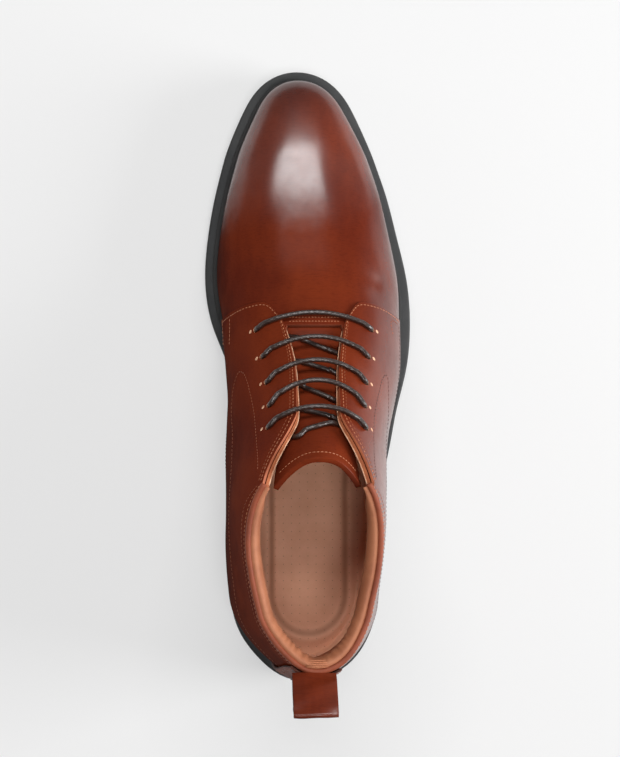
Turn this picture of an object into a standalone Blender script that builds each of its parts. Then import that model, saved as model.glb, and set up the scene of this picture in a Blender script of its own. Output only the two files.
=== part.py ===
"""Right-foot leather chukka boot, standing on its sole.

Metres, +Z up, +Y towards the toe, +X towards the outer side of the foot.
The origin is on the floor, at the centre of the heel.
"""

import math

import bmesh
import bpy
import numpy as np
from mathutils import Matrix, Vector

# Driving sizes
SOLE_LENGTH = 0.3095  # back of the heel to the tip of the toe
HEEL_BACK = 0.0365  # origin to the back of the sole
TOE_RIM = 0.0058  # the sole beyond the upper at the toe
HALF_BALL = 0.0457  # half the upper's width at the ball
RIM_WIDTH = 0.0062  # the sole beyond the upper at the side of the ball
SHAFT_HEIGHT = 0.1300  # collar above the floor
HEEL_AXIS = 0.0080  # upright axis that the back of the heel turns about

# Upper
UPPER_WALL = 0.0022
QUARTER_WALL = 0.0013
BACKSTAY_WALL = 0.0012
CLEARANCE = 0.0003
OVERLAY_GAP = 0.0005  # between two curved layers of leather
HEEL_LEAN = 0.0010  # the shaft leans outwards by this above the heel
HEEL_PART = (0.740, 0.960)  # stations over which the hollow and the lean come in
ANKLE_HOLLOW = 0.0026  # the wall draws in by this above the heel
ANKLE_HEIGHT = 0.1040
ANKLE_SPREAD = 0.0240
EYELET_BORE = 0.0036
EYELET_CUT = 0.0120  # depth of the punch that cuts a hole
BACKSTAY_HALF = 0.0160  # half the backstay's width at the heel's bulge
BACKSTAY_FOOT = 0.026  # share of the way up the wall at which the backstay starts
BACKSTAY_END = 0.006  # the backstay's top stops this share of the wall below the collar

# Sole
FORE_SOLE = 0.0104  # sole under the forefoot
WAIST_SOLE = 0.0080  # sole under the waist and heel
SEAT_HEIGHT = 0.0270  # top of the sole at the heel
TOE_SPRING = 0.0092
SPRING_START = 0.1850
SPRING_POWER = 1.8
ARCH_START = 0.1350
SEAT_START = 0.0200
HEEL_BREAST = 0.0480
HEEL_INSET = 0.0006
WELT_THICK = 0.0025
WELT_REACH = 0.5  # share of the sole's ledge that the welt covers
INSOLE_THICK = 0.0036
INSOLE_PLAY = 0.0005
GROOVE_DEPTH = 0.0008
GROOVE_HEIGHT = 0.0044  # the side groove above the bottom, where the sole is thickest
GROOVE_WIDTH = 0.0010
GROOVE_SLOPE = 0.0004  # height of each of its two sloping sides
EDGE_ROUND = 0.0009
TREAD_PITCH = 0.0110
TREAD_WIDTH = 0.0032
TREAD_DEPTH = 0.0016
TREAD_RIM = 0.0100
FORE_TREADS = 9
FORE_TREAD_START = 0.1380
HEEL_TREADS = 4
HEEL_TREAD_START = -0.0165

# Tongue and lace
TONGUE_THICK = 0.0026
LACE_RADIUS = 0.0012
LACE_HOLE_GAP = 0.0042  # a bar's end to the centre of its eyelet
LACE_CROWN = 0.0012  # a bar rises by this over the gap between the facings
BAR_EDGE_BOW = 0.8  # share of its bow that a bar has where it meets the facing's edge
CROSSING_REACH = 0.52  # a crossing's end, as a share of the tongue's half width

# Pull loop
LOOP_WIDTH = 0.0200
LOOP_STRAP = 0.0013
LOOP_DROP = 0.0150  # the outer leg below the collar
LOOP_REACH = 0.0138  # the tip behind the backstay
LOOP_RISE = 0.0170  # the tip above the collar
LOOP_BELLY = 0.0014  # each leg bows out by this
LOOP_FOLD = 0.0014  # half the opening at the fold
LOOP_LAP = 0.0030  # the inner leg starts this far in over the collar
LOOP_SEAT = 0.0014  # and this far above it

# Mesh fineness
STATIONS = 30
LOW_ROWS = 3
HIGH_ROWS = 12

TOE_TIP = SOLE_LENGTH - HEEL_BACK - TOE_RIM
FORE_LENGTH = TOE_TIP - HEEL_AXIS
BULGE_V = 0.22  # share of a wall that lies below its bulge
TOE_CLOSE = 0.161  # share of the length over which the toe rounds off
BACK = 1.225  # the station at the centre of the back, where 1 is the heel axis

# Sections of the upper, from the toe tip (0) to the heel axis (1) and round the heel.
# Widths and tucks are shares of HALF_BALL, heights of SHAFT_HEIGHT, rims of RIM_WIDTH.
SECTION_COLUMNS = (
    "at", "spine", "medial", "lateral", "bulge", "rise", "square",
    "tuck_medial", "tuck_lateral", "rim_medial", "rim_lateral",
)
SECTIONS = (
    (0.000, -0.066, 0.635, 0.671, 0.231, 0.154, 2.10, 0.044, 0.044, 0.970, 0.970),
    (0.063, -0.066, 0.582, 0.641, 0.223, 0.158, 2.10, 0.044, 0.044, 1.060, 0.960),
    (0.132, -0.062, 0.646, 0.721, 0.215, 0.177, 2.12, 0.040, 0.040, 1.060, 0.860),
    (0.218, -0.044, 0.793, 0.872, 0.208, 0.208, 2.15, 0.040, 0.040, 1.020, 0.880),
    (0.303, -0.007, 0.919, 0.945, 0.208, 0.246, 2.15, 0.036, 0.036, 1.000, 1.020),
    (0.392, 0.028, 0.985, 1.012, 0.212, 0.288, 2.15, 0.036, 0.036, 0.985, 1.120),
    (0.481, 0.057, 0.945, 0.990, 0.231, 0.362, 2.10, 0.046, 0.044, 0.780, 1.310),
    (0.558, 0.066, 0.922, 0.955, 0.269, 0.431, 2.05, 0.090, 0.050, -0.210, 1.200),
    (0.636, 0.059, 0.888, 0.865, 0.315, 0.527, 2.00, 0.155, 0.055, -0.790, 1.090),
    (0.706, 0.048, 0.879, 0.810, 0.346, 0.638, 2.00, 0.190, 0.060, -1.130, 0.960),
    (0.775, 0.035, 0.875, 0.800, 0.362, 0.785, 2.10, 0.190, 0.066, -1.030, 0.500),
    (0.853, 0.020, 0.862, 0.780, 0.369, 0.885, 2.32, 0.155, 0.066, -0.690, 0.380),
    (0.930, 0.004, 0.838, 0.768, 0.377, 0.915, 2.10, 0.115, 0.066, -0.320, 0.460),
    (1.000, -0.013, 0.778, 0.745, 0.385, 0.923, 1.76, 0.080, 0.066, 0.080, 0.730),
    (1.075, -0.013, 0.712, 0.722, 0.385, 0.923, 1.70, 0.060, 0.060, 0.780, 1.100),
    (1.150, -0.013, 0.720, 0.760, 0.385, 0.923, 1.76, 0.060, 0.060, 1.160, 1.400),
    (1.225, -0.013, 0.800, 0.800, 0.385, 0.923, 1.76, 0.066, 0.066, 1.290, 1.290),
    (1.300, -0.013, 0.720, 0.760, 0.385, 0.923, 1.76, 0.060, 0.060, 1.160, 1.400),
)

# Height of the collar line, as a share of SHAFT_HEIGHT, at shares of the heel-to-toe length.
COLLAR_COLUMNS = ("along", "height")
COLLAR = (
    (-0.110, 1.010),
    (-0.065, 1.006),
    (0.000, 0.978),
    (0.080, 0.962),
    (0.160, 0.966),
    (0.230, 0.984),
    (0.300, 1.010),
)

# Front edge of the quarters: station, and share of HALF_BALL across from the spine.
TAB = (
    (0.470, 0.950),
    (0.459, 0.858),
    (0.448, 0.730),
    (0.442, 0.590),
    (0.4435, 0.475),
    (0.4595, 0.395),
    (0.475, 0.333),
)
FACING_EDGE = (
    (0.475, 0.333),
    (0.508, 0.280),
    (0.558, 0.227),
    (0.598, 0.213),
    (0.640, 0.211),
    (0.655, 0.222),
    (0.679, 0.290),
    (0.714, 0.405),
    (0.747, 0.490),
    (0.770, 0.530),
)
COLLAR_CORNER = 0.770
COLLAR_OVERLAP = 0.004  # the collar's cut starts this far in front of its corners
# Lower edge of the quarters: station, and how far up the inner and the outer wall it lies.
QUARTER_FOOT = (
    (0.470, 0.330, 0.400),
    (0.540, 0.310, 0.380),
    (0.610, 0.290, 0.340),
    (0.680, 0.250, 0.280),
    (0.740, 0.190, 0.200),
    (0.790, 0.120, 0.120),
    (0.840, 0.050, 0.050),
    (0.885, 0.016, 0.016),
    (1.020, 0.016, 0.016),
    (1.221, 0.016, 0.016),
)
THROAT = 0.4825  # station of the vamp's edge over the tongue
THROAT_ROUND = 0.03  # its corners are this share of HALF_BALL inside the facings
THROAT_LEAD = 0.008  # and meet them this much further back

# The lace holes: station, share of HALF_BALL from the spine, and how far forward its bar bows.
EYELETS = (
    (0.4930, 0.590, 0.0275),
    (0.5445, 0.534, 0.0325),
    (0.5920, 0.498, 0.0355),
    (0.6340, 0.473, 0.0400),
    (0.6735, 0.482, 0.0325),
)
# The crossings over the tongue: station at the medial facing and at the lateral one.
CROSSINGS = ((0.500, 0.5236), (0.541, 0.5604), (0.5855, 0.611), (0.627, 0.6417))

# The tongue: station along its middle and at its sides, half width as a share of HALF_BALL,
# how far it has sunk below the facings, and how far its middle is lifted, as a share of SHAFT_HEIGHT.
TONGUE_COLUMNS = ("middle", "side", "half", "sink", "lift")
TONGUE = (
    (0.448, 0.448, 0.36, 0.00, 0.000),
    (0.478, 0.478, 0.38, 0.05, 0.000),
    (0.510, 0.510, 0.38, 0.90, 0.000),
    (0.560, 0.562, 0.38, 1.00, 0.000),
    (0.620, 0.628, 0.39, 1.00, 0.000),
    (0.660, 0.688, 0.42, 1.00, 0.011),
    (0.686, 0.730, 0.45, 1.00, 0.034),
    (0.706, 0.768, 0.43, 1.00, 0.067),
)

MATERIALS = {
    "leather": ((0.250, 0.070, 0.024), 0.34, 0.0),
    "rubber": ((0.030, 0.032, 0.031), 0.55, 0.0),
    "welt": ((0.018, 0.018, 0.017), 0.60, 0.0),
    "footbed": ((0.380, 0.190, 0.110), 0.65, 0.0),
    "lace": ((0.022, 0.013, 0.009), 0.40, 0.0),
}


class Table:
    """Natural cubic splines through the columns of a table of sections."""

    def __init__(self, columns, rows):
        data = np.array(rows, float)
        self.key = data[:, 0]
        self.values = {name: data[:, i] for i, name in enumerate(columns)}
        self.bends = {name: self.second(column) for name, column in self.values.items()}

    def second(self, column):
        step = np.diff(self.key)
        count = len(column)
        matrix = np.eye(count)
        right = np.zeros(count)
        for i in range(1, count - 1):
            matrix[i, i - 1] = step[i - 1]
            matrix[i, i] = 2 * (step[i - 1] + step[i])
            matrix[i, i + 1] = step[i]
            rise = (column[i + 1] - column[i]) / step[i]
            fall = (column[i] - column[i - 1]) / step[i - 1]
            right[i] = 6 * (rise - fall)
        return np.linalg.solve(matrix, right)

    def read(self, name, at):
        i = int(np.clip(np.searchsorted(self.key, at) - 1, 0, len(self.key) - 2))
        span = self.key[i + 1] - self.key[i]
        a = (self.key[i + 1] - at) / span
        b = 1 - a
        low, high = self.values[name][i], self.values[name][i + 1]
        bend_low, bend_high = self.bends[name][i], self.bends[name][i + 1]
        curve = ((a**3 - a) * bend_low + (b**3 - b) * bend_high) * span**2 / 6
        return float(a * low + b * high + curve)


SECTION = Table(SECTION_COLUMNS, SECTIONS)
COLLAR_LINE = Table(COLLAR_COLUMNS, COLLAR)
TONGUE_LINE = Table(TONGUE_COLUMNS, TONGUE)


def blend(share):
    """Smooth step with no bend at either end."""
    t = min(max(share, 0.0), 1.0)
    return t**3 * (10 - 15 * t + 6 * t**2)


def sole_top(y):
    spring = TOE_SPRING * max(0.0, (y - SPRING_START) / (TOE_TIP - SPRING_START)) ** SPRING_POWER
    rise = (SEAT_HEIGHT - FORE_SOLE) * blend((ARCH_START - y) / (ARCH_START - SEAT_START))
    return FORE_SOLE + spring + rise


def sole_thickness(y):
    return FORE_SOLE - (FORE_SOLE - WAIST_SOLE) * blend(2 * (ARCH_START - y) / ARCH_START)


def sole_bottom(y):
    return max(0.0, sole_top(y) - sole_thickness(y))


def feather_height(y):
    return sole_top(y) + WELT_THICK + 2 * CLEARANCE


def side_sign(side):
    return 1 if side == "lateral" else -1


def station_y(at):
    return HEEL_AXIS + (1 - min(at, 1.0)) * FORE_LENGTH


def station_of(y):
    return 1 - (y - HEEL_AXIS) / FORE_LENGTH


def fan(at):
    """Angle of the section about the heel axis, 0 while sections lie across the foot."""
    return max(0.0, at - 1) / (BACK - 1) * math.pi / 2


def toe_round(at):
    c = max(0.0, 1 - at / TOE_CLOSE)
    return math.sqrt(max(0.0, 1 - c * c))


def heading(side, at):
    angle = fan(at)
    return Vector((side_sign(side) * math.cos(angle), -math.sin(angle), 0))


def spine(at):
    return Vector((SECTION.read("spine", at) * HALF_BALL, station_y(at), 0))


def reach(side, at):
    return SECTION.read(side, at) * HALF_BALL * toe_round(at)


def bulge_plan(side, at):
    return spine(at) + heading(side, at) * reach(side, at)


def plan_normal(side, at):
    """Outward direction of the upper's widest line, seen from above."""
    if at < 1e-6:
        return Vector((0, 1, 0))
    if at > BACK - 1e-6:
        return Vector((0, -1, 0))
    small = min(0.004, at / 2, (BACK - at) / 2)
    along = bulge_plan(side, at + small) - bulge_plan(side, at - small)
    normal = Vector((-along.y, along.x, 0)) * side_sign(side)
    return normal.normalized()


def foot_plan(side, at, out=0.0):
    """A point out from the feather edge, seen from above."""
    tuck = SECTION.read("tuck_" + side, at) * HALF_BALL
    return bulge_plan(side, at) + plan_normal(side, at) * (out - tuck)


def sole_plan(side, at, inset=0.0):
    rim = SECTION.read("rim_" + side, at) * RIM_WIDTH
    return bulge_plan(side, at) + plan_normal(side, at) * (rim - inset)


def wall(side, at, v):
    """A point of the upper's outer surface: v is 0 at the feather edge and 1 at the ridge."""
    bulge_z = SECTION.read("bulge", at) * SHAFT_HEIGHT
    if v < BULGE_V:
        q = v / BULGE_V
        foot = foot_plan(side, at)
        plan = bulge_plan(side, at).lerp(foot, (1 - q) ** 2)
        low_z = feather_height(foot.y)
        return Vector((plan.x, plan.y, low_z + (bulge_z - low_z) * q))
    angle = (v - BULGE_V) / (1 - BULGE_V) * math.pi / 2
    power = SECTION.read("square", at)
    c, s = math.cos(angle), math.sin(angle)
    swell = (abs(c) ** power + s**power) ** (-1 / power)
    out = reach(side, at) * c * swell
    z = bulge_z + SECTION.read("rise", at) * SHAFT_HEIGHT * toe_round(at) * s * swell
    rear = blend((at - HEEL_PART[0]) / (HEEL_PART[1] - HEEL_PART[0]))
    out -= ANKLE_HOLLOW * rear * math.exp(-(((z - ANKLE_HEIGHT) / ANKLE_SPREAD) ** 2)) * c
    lean = HEEL_LEAN * rear * blend((z - bulge_z) / (SHAFT_HEIGHT - bulge_z))
    point = spine(at) + heading(side, at) * out
    return Vector((point.x + lean, point.y, z))


def wall_normal(side, at, v):
    low_at, high_at = max(at - 0.003, 0.0), min(at + 0.003, BACK)
    low_v, high_v = max(v - 0.01, 0.0), min(v + 0.01, 1.0)
    if at < 0.002 and v > BULGE_V:
        return Vector((0, 1, 0))
    along = wall(side, high_at, v) - wall(side, low_at, v)
    up = wall(side, at, high_v) - wall(side, at, low_v)
    normal = up.cross(along) * side_sign(side)
    return normal.normalized()


def surface(side, at, v, out=0.0):
    if out == 0.0:
        return wall(side, at, v)
    return wall(side, at, v) + wall_normal(side, at, v) * out


def seek(test, low, high):
    """The value between low and high at which a falling test passes zero."""
    for _ in range(40):
        middle = (low + high) / 2
        if test(middle) > 0:
            low = middle
        else:
            high = middle
    return (low + high) / 2


def v_across(side, at, across):
    """How far up the wall it lies at a share of HALF_BALL from the spine."""
    target = across * HALF_BALL
    middle = spine(at)
    return seek(lambda v: (wall(side, at, v) - middle).xy.length - target, BULGE_V, 1.0)


def collar_height(y):
    return COLLAR_LINE.read("height", y / (SOLE_LENGTH - HEEL_BACK)) * SHAFT_HEIGHT


def v_collar(side, at):
    def test(v):
        point = wall(side, at, v)
        return collar_height(point.y) - point.z

    return seek(test, BULGE_V, 1.0)


def toe_spaced(count, end=BACK):
    """Stations from the toe tip, close together where the toe rounds off."""
    turn = 1 / (1 + (end / TOE_CLOSE - 1) / (math.pi / 2))
    slope = TOE_CLOSE * (math.pi / 2) / turn
    stations = []
    for i in range(count + 1):
        u = i / count
        if u < turn:
            stations.append(TOE_CLOSE * (1 - math.cos(math.pi / 2 * u / turn)))
        else:
            stations.append(min(end, TOE_CLOSE + slope * (u - turn)))
    return stations


def spaced(points, measure, count):
    """Pairs spread evenly along a polyline of pairs, by their distance on the surface."""
    places = [measure(*p) for p in points]
    run = [0.0]
    for a, b in zip(places, places[1:]):
        run.append(run[-1] + (b - a).length)
    first = np.interp(np.linspace(0, run[-1], count + 1), run, [p[0] for p in points])
    second = np.interp(np.linspace(0, run[-1], count + 1), run, [p[1] for p in points])
    return list(zip(first.tolist(), second.tolist()))


def rounded(points, fine=8):
    """A smooth curve through a few pairs."""
    keys = list(range(len(points)))
    curve = Table(("key", "a", "b"), [(k, p[0], p[1]) for k, p in zip(keys, points)])
    steps = [i / fine for i in range(fine * keys[-1] + 1)]
    return [(curve.read("a", s), curve.read("b", s)) for s in steps]


def coons(bottom, top, front, back):
    """Grid of pairs filled in between four edges, each a list of pairs."""
    columns, rows = len(bottom) - 1, len(front) - 1
    grid = []
    for j in range(rows + 1):
        t = j / rows
        line = []
        for i in range(columns + 1):
            s = i / columns
            pair = []
            for k in (0, 1):
                across = (1 - s) * front[j][k] + s * back[j][k]
                upward = (1 - t) * bottom[i][k] + t * top[i][k]
                corners = (1 - s) * (1 - t) * bottom[0][k] + s * (1 - t) * bottom[-1][k]
                corners += (1 - s) * t * top[0][k] + s * t * top[-1][k]
                pair.append(across + upward - corners)
            line.append(tuple(pair))
        grid.append(line)
    return grid


def clear_scene():
    for old in list(bpy.data.objects):
        bpy.data.objects.remove(old, do_unlink=True)
    for old in list(bpy.data.collections):
        bpy.data.collections.remove(old)


def new_collection(name):
    made = bpy.data.collections.new(name)
    bpy.context.scene.collection.children.link(made)
    return made


def material(slot, name):
    colour, roughness, metallic = MATERIALS[slot]
    made = bpy.data.materials.new(name)
    made.use_nodes = True
    shader = made.node_tree.nodes["Principled BSDF"]
    shader.inputs["Base Color"].default_value = (*colour, 1)
    shader.inputs["Roughness"].default_value = roughness
    shader.inputs["Metallic"].default_value = metallic
    return made


def add_mesh(name, mesh_maker, home, slot=None):
    """An object from a bmesh; one with no material slot is a cutter."""
    mesh = bpy.data.meshes.new(name)
    mesh_maker.to_mesh(mesh)
    mesh_maker.free()
    made = bpy.data.objects.new(name, mesh)
    home.objects.link(made)
    if slot:
        made.data.materials.append(material(slot, name))
        made.data.shade_smooth()
        made.data.set_sharp_from_angle(angle=math.radians(40))
    else:
        made.hide_render = True
        made.display_type = "WIRE"
    return made


def tidy(shape):
    bmesh.ops.remove_doubles(shape, verts=shape.verts, dist=2e-6)
    bmesh.ops.dissolve_degenerate(shape, edges=shape.edges, dist=1e-6)
    bmesh.ops.recalc_face_normals(shape, faces=shape.faces)
    return shape


def sheet(points, loop=False):
    """A grid surface through rows of points, closed round its rows if loop is set."""
    shape = bmesh.new()
    verts = [[shape.verts.new(p) for p in row] for row in points]
    for low, high in zip(verts, verts[1:]):
        count = len(low)
        for i in range(count if loop else count - 1):
            k = (i + 1) % count
            shape.faces.new((low[i], low[k], high[k], high[i]))
    return shape


def loft(rings, closed=False, cap=False):
    """A solid through closed rings: joined last to first, or capped at its first ring."""
    shape = bmesh.new()
    verts = [[shape.verts.new(p) for p in ring] for ring in rings]
    pairs = list(zip(verts, verts[1:]))
    if closed:
        pairs.append((verts[-1], verts[0]))
    for low, high in pairs:
        count = len(low)
        for i in range(count):
            k = (i + 1) % count
            shape.faces.new((low[i], low[k], high[k], high[i]))
    if cap:
        shape.faces.new(verts[0])
    return tidy(shape)


def prism(outline, low, high, axis):
    """An outline of pairs pushed along Z (pairs are X, Y) or along X (pairs are Y, Z)."""
    shape = bmesh.new()
    if axis == "Z":
        base = [shape.verts.new((a, b, low)) for a, b in outline]
        push = Vector((0, 0, high - low))
    else:
        base = [shape.verts.new((low, a, b)) for a, b in outline]
        push = Vector((high - low, 0, 0))
    face = shape.faces.new(base)
    grown = bmesh.ops.extrude_face_region(shape, geom=[face])
    moved = [item for item in grown["geom"] if isinstance(item, bmesh.types.BMVert)]
    bmesh.ops.translate(shape, verts=moved, vec=push)
    bmesh.ops.recalc_face_normals(shape, faces=shape.faces)
    return shape


def cut(piece, cutter):
    step = piece.modifiers.new("cut_" + cutter.name, "BOOLEAN")
    step.operation = "DIFFERENCE"
    step.object = cutter
    step.solver = "EXACT"


def thicken(piece, thickness, outward):
    step = piece.modifiers.new("wall", "SOLIDIFY")
    step.thickness = thickness
    step.offset = 1 if outward else -1


def side_profile(thickness):
    """Inset and height of the sole's edge, from its bottom to its top."""
    lift = thickness / FORE_SOLE
    groove = GROOVE_HEIGHT * lift
    top = groove + 2 * GROOVE_SLOPE + GROOVE_WIDTH
    return (
        (EDGE_ROUND, 0.0),
        (0.0, EDGE_ROUND),
        (0.0, groove),
        (GROOVE_DEPTH, groove + GROOVE_SLOPE),
        (GROOVE_DEPTH, top - GROOVE_SLOPE),
        (0.0, top),
        (0.0, thickness - EDGE_ROUND),
        (EDGE_ROUND, thickness),
    )


def sole_ring(at):
    ring = []
    y = sole_plan("medial", at).y
    profile = side_profile(sole_thickness(y))
    for side, order in (("medial", profile), ("lateral", reversed(profile))):
        for inset, height in order:
            plan = sole_plan(side, at, inset)
            ring.append(Vector((plan.x, plan.y, sole_bottom(plan.y) + height)))
    return ring


def plate_ring(at, inset, low, high):
    """A flat section between the medial and lateral feather edges."""
    ring = []
    for side, order in (("medial", (low, high)), ("lateral", (high, low))):
        plan = foot_plan(side, at, -inset)
        for height in order:
            ring.append(Vector((plan.x, plan.y, height(plan.y))))
    return ring


def tread_cutters(home):
    shape = bmesh.new()
    for i in range(FORE_TREADS):
        y = FORE_TREAD_START + i * TREAD_PITCH
        at = station_of(y)
        left = sole_plan("medial", at).x + TREAD_RIM
        right = sole_plan("lateral", at).x - TREAD_RIM
        add_channel(shape, left, right, y, sole_bottom(y))
    return add_mesh("fore_tread_cutter", shape, home)


def heel_tread_cutters(home):
    shape = bmesh.new()
    for i in range(HEEL_TREADS):
        y = HEEL_TREAD_START + i * TREAD_PITCH
        half = math.sqrt((HEEL_BACK - TREAD_RIM) ** 2 - min(y, 0.0) ** 2)
        add_channel(shape, -half, half, y, 0.0)
    return add_mesh("heel_tread_cutter", shape, home)


def add_channel(shape, left, right, y, floor):
    made = bmesh.ops.create_cube(shape, size=1.0)["verts"]
    slope = 0.0
    if floor > 0.0:
        slope = math.atan2(sole_bottom(y + TREAD_WIDTH) - sole_bottom(y - TREAD_WIDTH), 2 * TREAD_WIDTH)
    size = Vector((right - left, TREAD_WIDTH, 2 * TREAD_DEPTH))
    bmesh.ops.scale(shape, verts=made, vec=size)
    bmesh.ops.rotate(shape, verts=made, cent=(0, 0, 0), matrix=Matrix.Rotation(slope, 3, "X"))
    bmesh.ops.translate(shape, verts=made, vec=((left + right) / 2, y, floor))


def make_outsole(home, cutters):
    stations = toe_spaced(STATIONS)
    piece = add_mesh("outsole", loft([sole_ring(at) for at in stations]), home, "rubber")
    cut(piece, tread_cutters(cutters))


def make_heel(home, cutters):
    breast = station_of(HEEL_BREAST)
    rings = []
    for i in range(15):
        at = breast + (BACK - breast) * i / 14
        ring = []
        for side, up in (("medial", True), ("lateral", False)):
            column = []
            plan = sole_plan(side, at, HEEL_INSET)
            foot = sole_plan(side, at, HEEL_INSET + EDGE_ROUND)
            column.append(Vector((foot.x, foot.y, 0.0)))
            column.append(Vector((plan.x, plan.y, EDGE_ROUND)))
            column.append(Vector((plan.x, plan.y, sole_bottom(plan.y) - CLEARANCE)))
            ring.extend(column if up else reversed(column))
        rings.append(ring)
    piece = add_mesh("heel", loft(rings, cap=True), home, "rubber")
    cut(piece, heel_tread_cutters(cutters))


def around(count):
    """Side and station, from the toe round the outer side, the back and the inner side."""
    stations = toe_spaced(count)
    lateral = [("lateral", at) for at in stations]
    medial = [("medial", at) for at in stations[-2:0:-1]]
    return lateral + medial


def make_welt(home):
    rings = []
    for side, at in around(STATIONS):
        rim = SECTION.read("rim_" + side, at) * RIM_WIDTH
        ledge = SECTION.read("tuck_" + side, at) * HALF_BALL + rim
        inner = foot_plan(side, at, -UPPER_WALL)
        outer = foot_plan(side, at, WELT_REACH * ledge)
        lip = foot_plan(side, at, WELT_REACH * ledge - EDGE_ROUND / 2)
        low = sole_top(inner.y) + CLEARANCE
        rings.append([
            Vector((inner.x, inner.y, low)),
            Vector((outer.x, outer.y, sole_top(outer.y) + CLEARANCE)),
            Vector((outer.x, outer.y, sole_top(outer.y) + CLEARANCE + WELT_THICK - EDGE_ROUND / 2)),
            Vector((lip.x, lip.y, sole_top(lip.y) + CLEARANCE + WELT_THICK)),
            Vector((inner.x, inner.y, low + WELT_THICK)),
        ])
    add_mesh("welt", loft(rings, closed=True), home, "welt")


def make_insole(home):
    inset = UPPER_WALL + INSOLE_PLAY

    def low(y):
        return sole_top(y) + CLEARANCE

    def high(y):
        return sole_top(y) + CLEARANCE + INSOLE_THICK

    rings = [plate_ring(at, inset, low, high) for at in toe_spaced(STATIONS)]
    add_mesh("insole", loft(rings), home, "footbed")


def wall_rows():
    low = [BULGE_V * i / LOW_ROWS for i in range(LOW_ROWS)]
    high = [BULGE_V + (1 - BULGE_V) * i / HIGH_ROWS for i in range(HIGH_ROWS + 1)]
    return low + high


def throat_outline():
    """The lace opening between the facings, up to the corners of the collar, seen from above."""
    shapes = {}
    for side in ("medial", "lateral"):
        points = [(THROAT, FACING_EDGE[0][1] - THROAT_ROUND)]
        points += [pair for pair in rounded(FACING_EDGE, 4) if pair[0] > THROAT + THROAT_LEAD]
        line = []
        for at, across in points:
            middle = spine(at)
            line.append((middle.x + side_sign(side) * across * HALF_BALL, middle.y))
        shapes[side] = line
    return shapes["medial"] + shapes["lateral"][::-1]


def collar_outline():
    """Everything above the collar line, seen from the side."""
    front = station_y(COLLAR_CORNER) + COLLAR_OVERLAP
    back = -1.5 * HEEL_BACK
    last = COLLAR[0][0] * (SOLE_LENGTH - HEEL_BACK)
    count = 24
    line = []
    for i in range(count + 1):
        y = front + (back - front) * i / count
        line.append((y, collar_height(max(y, last))))
    top = 2 * SHAFT_HEIGHT
    return line + [(back, top), (front, top)]


def throat_cutter(home):
    shape = prism(throat_outline(), 0.5 * SHAFT_HEIGHT, 2 * SHAFT_HEIGHT, "Z")
    return add_mesh("throat_cutter", shape, home)


def collar_cutter(home):
    shape = prism(collar_outline(), -2 * HALF_BALL, 2 * HALF_BALL, "X")
    return add_mesh("collar_cutter", shape, home)


def eyelet_cutter(home):
    shape = bmesh.new()
    for side in ("medial", "lateral"):
        for at, across, _ in EYELETS:
            v = v_across(side, at, across)
            made = bmesh.ops.create_cone(
                shape, cap_ends=True, segments=12, depth=EYELET_CUT,
                radius1=EYELET_BORE / 2, radius2=EYELET_BORE / 2,
            )["verts"]
            turn = wall_normal(side, at, v).to_track_quat("Z", "Y").to_matrix()
            bmesh.ops.rotate(shape, verts=made, cent=(0, 0, 0), matrix=turn)
            bmesh.ops.translate(shape, verts=made, vec=wall(side, at, v))
    return add_mesh("eyelet_cutter", shape, home)


def make_upper(home, cutters):
    ring = around(STATIONS)
    rows = [[wall(side, at, v) for side, at in ring] for v in wall_rows()]
    piece = add_mesh("upper", tidy(sheet(rows, loop=True)), home, "leather")
    thicken(piece, UPPER_WALL, outward=False)
    cut(piece, collar_cutter(cutters))
    cut(piece, throat_cutter(cutters))
    return piece


def quarter_grid(side, columns, rows):
    def measure(at, v):
        return wall(side, at, v)

    foot = [(at, inner if side == "medial" else outer) for at, inner, outer in QUARTER_FOOT]
    tab = [(at, v_across(side, at, across)) for at, across in rounded(TAB[1:], 4)]
    tab.insert(0, foot[0])
    facing = [(at, v_across(side, at, across)) for at, across in rounded(FACING_EDGE, 4)]
    last = QUARTER_FOOT[-1][0]
    for i in range(1, 15):
        at = COLLAR_CORNER + (last - COLLAR_CORNER) * i / 14
        facing.append((at, v_collar(side, at)))
    low = QUARTER_FOOT[-1][1]
    back = [(last, low + (facing[-1][1] - low) * i / rows) for i in range(rows + 1)]
    return coons(
        spaced(foot, measure, columns), spaced(facing, measure, columns),
        spaced(tab, measure, rows), back,
    )


def make_quarter(side, home, holes):
    pairs = quarter_grid(side, 28, 8)
    points = [[surface(side, at, v, OVERLAY_GAP) for at, v in row] for row in pairs]
    shape = sheet(points)
    if side == "lateral":
        bmesh.ops.reverse_faces(shape, faces=shape.faces)
    piece = add_mesh("quarter_" + side, shape, home, "leather")
    thicken(piece, QUARTER_WALL, outward=True)
    cut(piece, holes)


def make_backstay(home):
    half = (BACK - 1) * BACKSTAY_HALF / (reach("medial", BACK) * math.pi / 2)
    out = 2 * OVERLAY_GAP + QUARTER_WALL
    rows = []
    for j in range(9):
        row = []
        for i in range(-4, 5):
            side = "lateral" if i > 0 else "medial"
            at = BACK - abs(i) / 4 * half
            top = v_collar(side, at) - BACKSTAY_END
            row.append(surface(side, at, BACKSTAY_FOOT + (top - BACKSTAY_FOOT) * j / 8, out))
        rows.append(row)
    shape = sheet(rows)
    piece = add_mesh("backstay", shape, home, "leather")
    thicken(piece, BACKSTAY_WALL, outward=True)


def tongue_point(middle, share, out):
    half = TONGUE_LINE.read("half", middle) * HALF_BALL
    at = middle + (TONGUE_LINE.read("side", middle) - middle) * share * share
    side = "lateral" if share > 0 else "medial"
    v = v_across(side, at, abs(share) * half / HALF_BALL)
    near = UPPER_WALL + CLEARANCE
    deep = UPPER_WALL + 2 * LACE_RADIUS + 3 * CLEARANCE
    sink = min(max(TONGUE_LINE.read("sink", middle), 0.0), 1.0)
    point = surface(side, at, v, out - near - (deep - near) * sink)
    lift = max(0.0, TONGUE_LINE.read("lift", middle)) * SHAFT_HEIGHT
    return point + Vector((0, 0, lift * (1 - share * share)))


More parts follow.
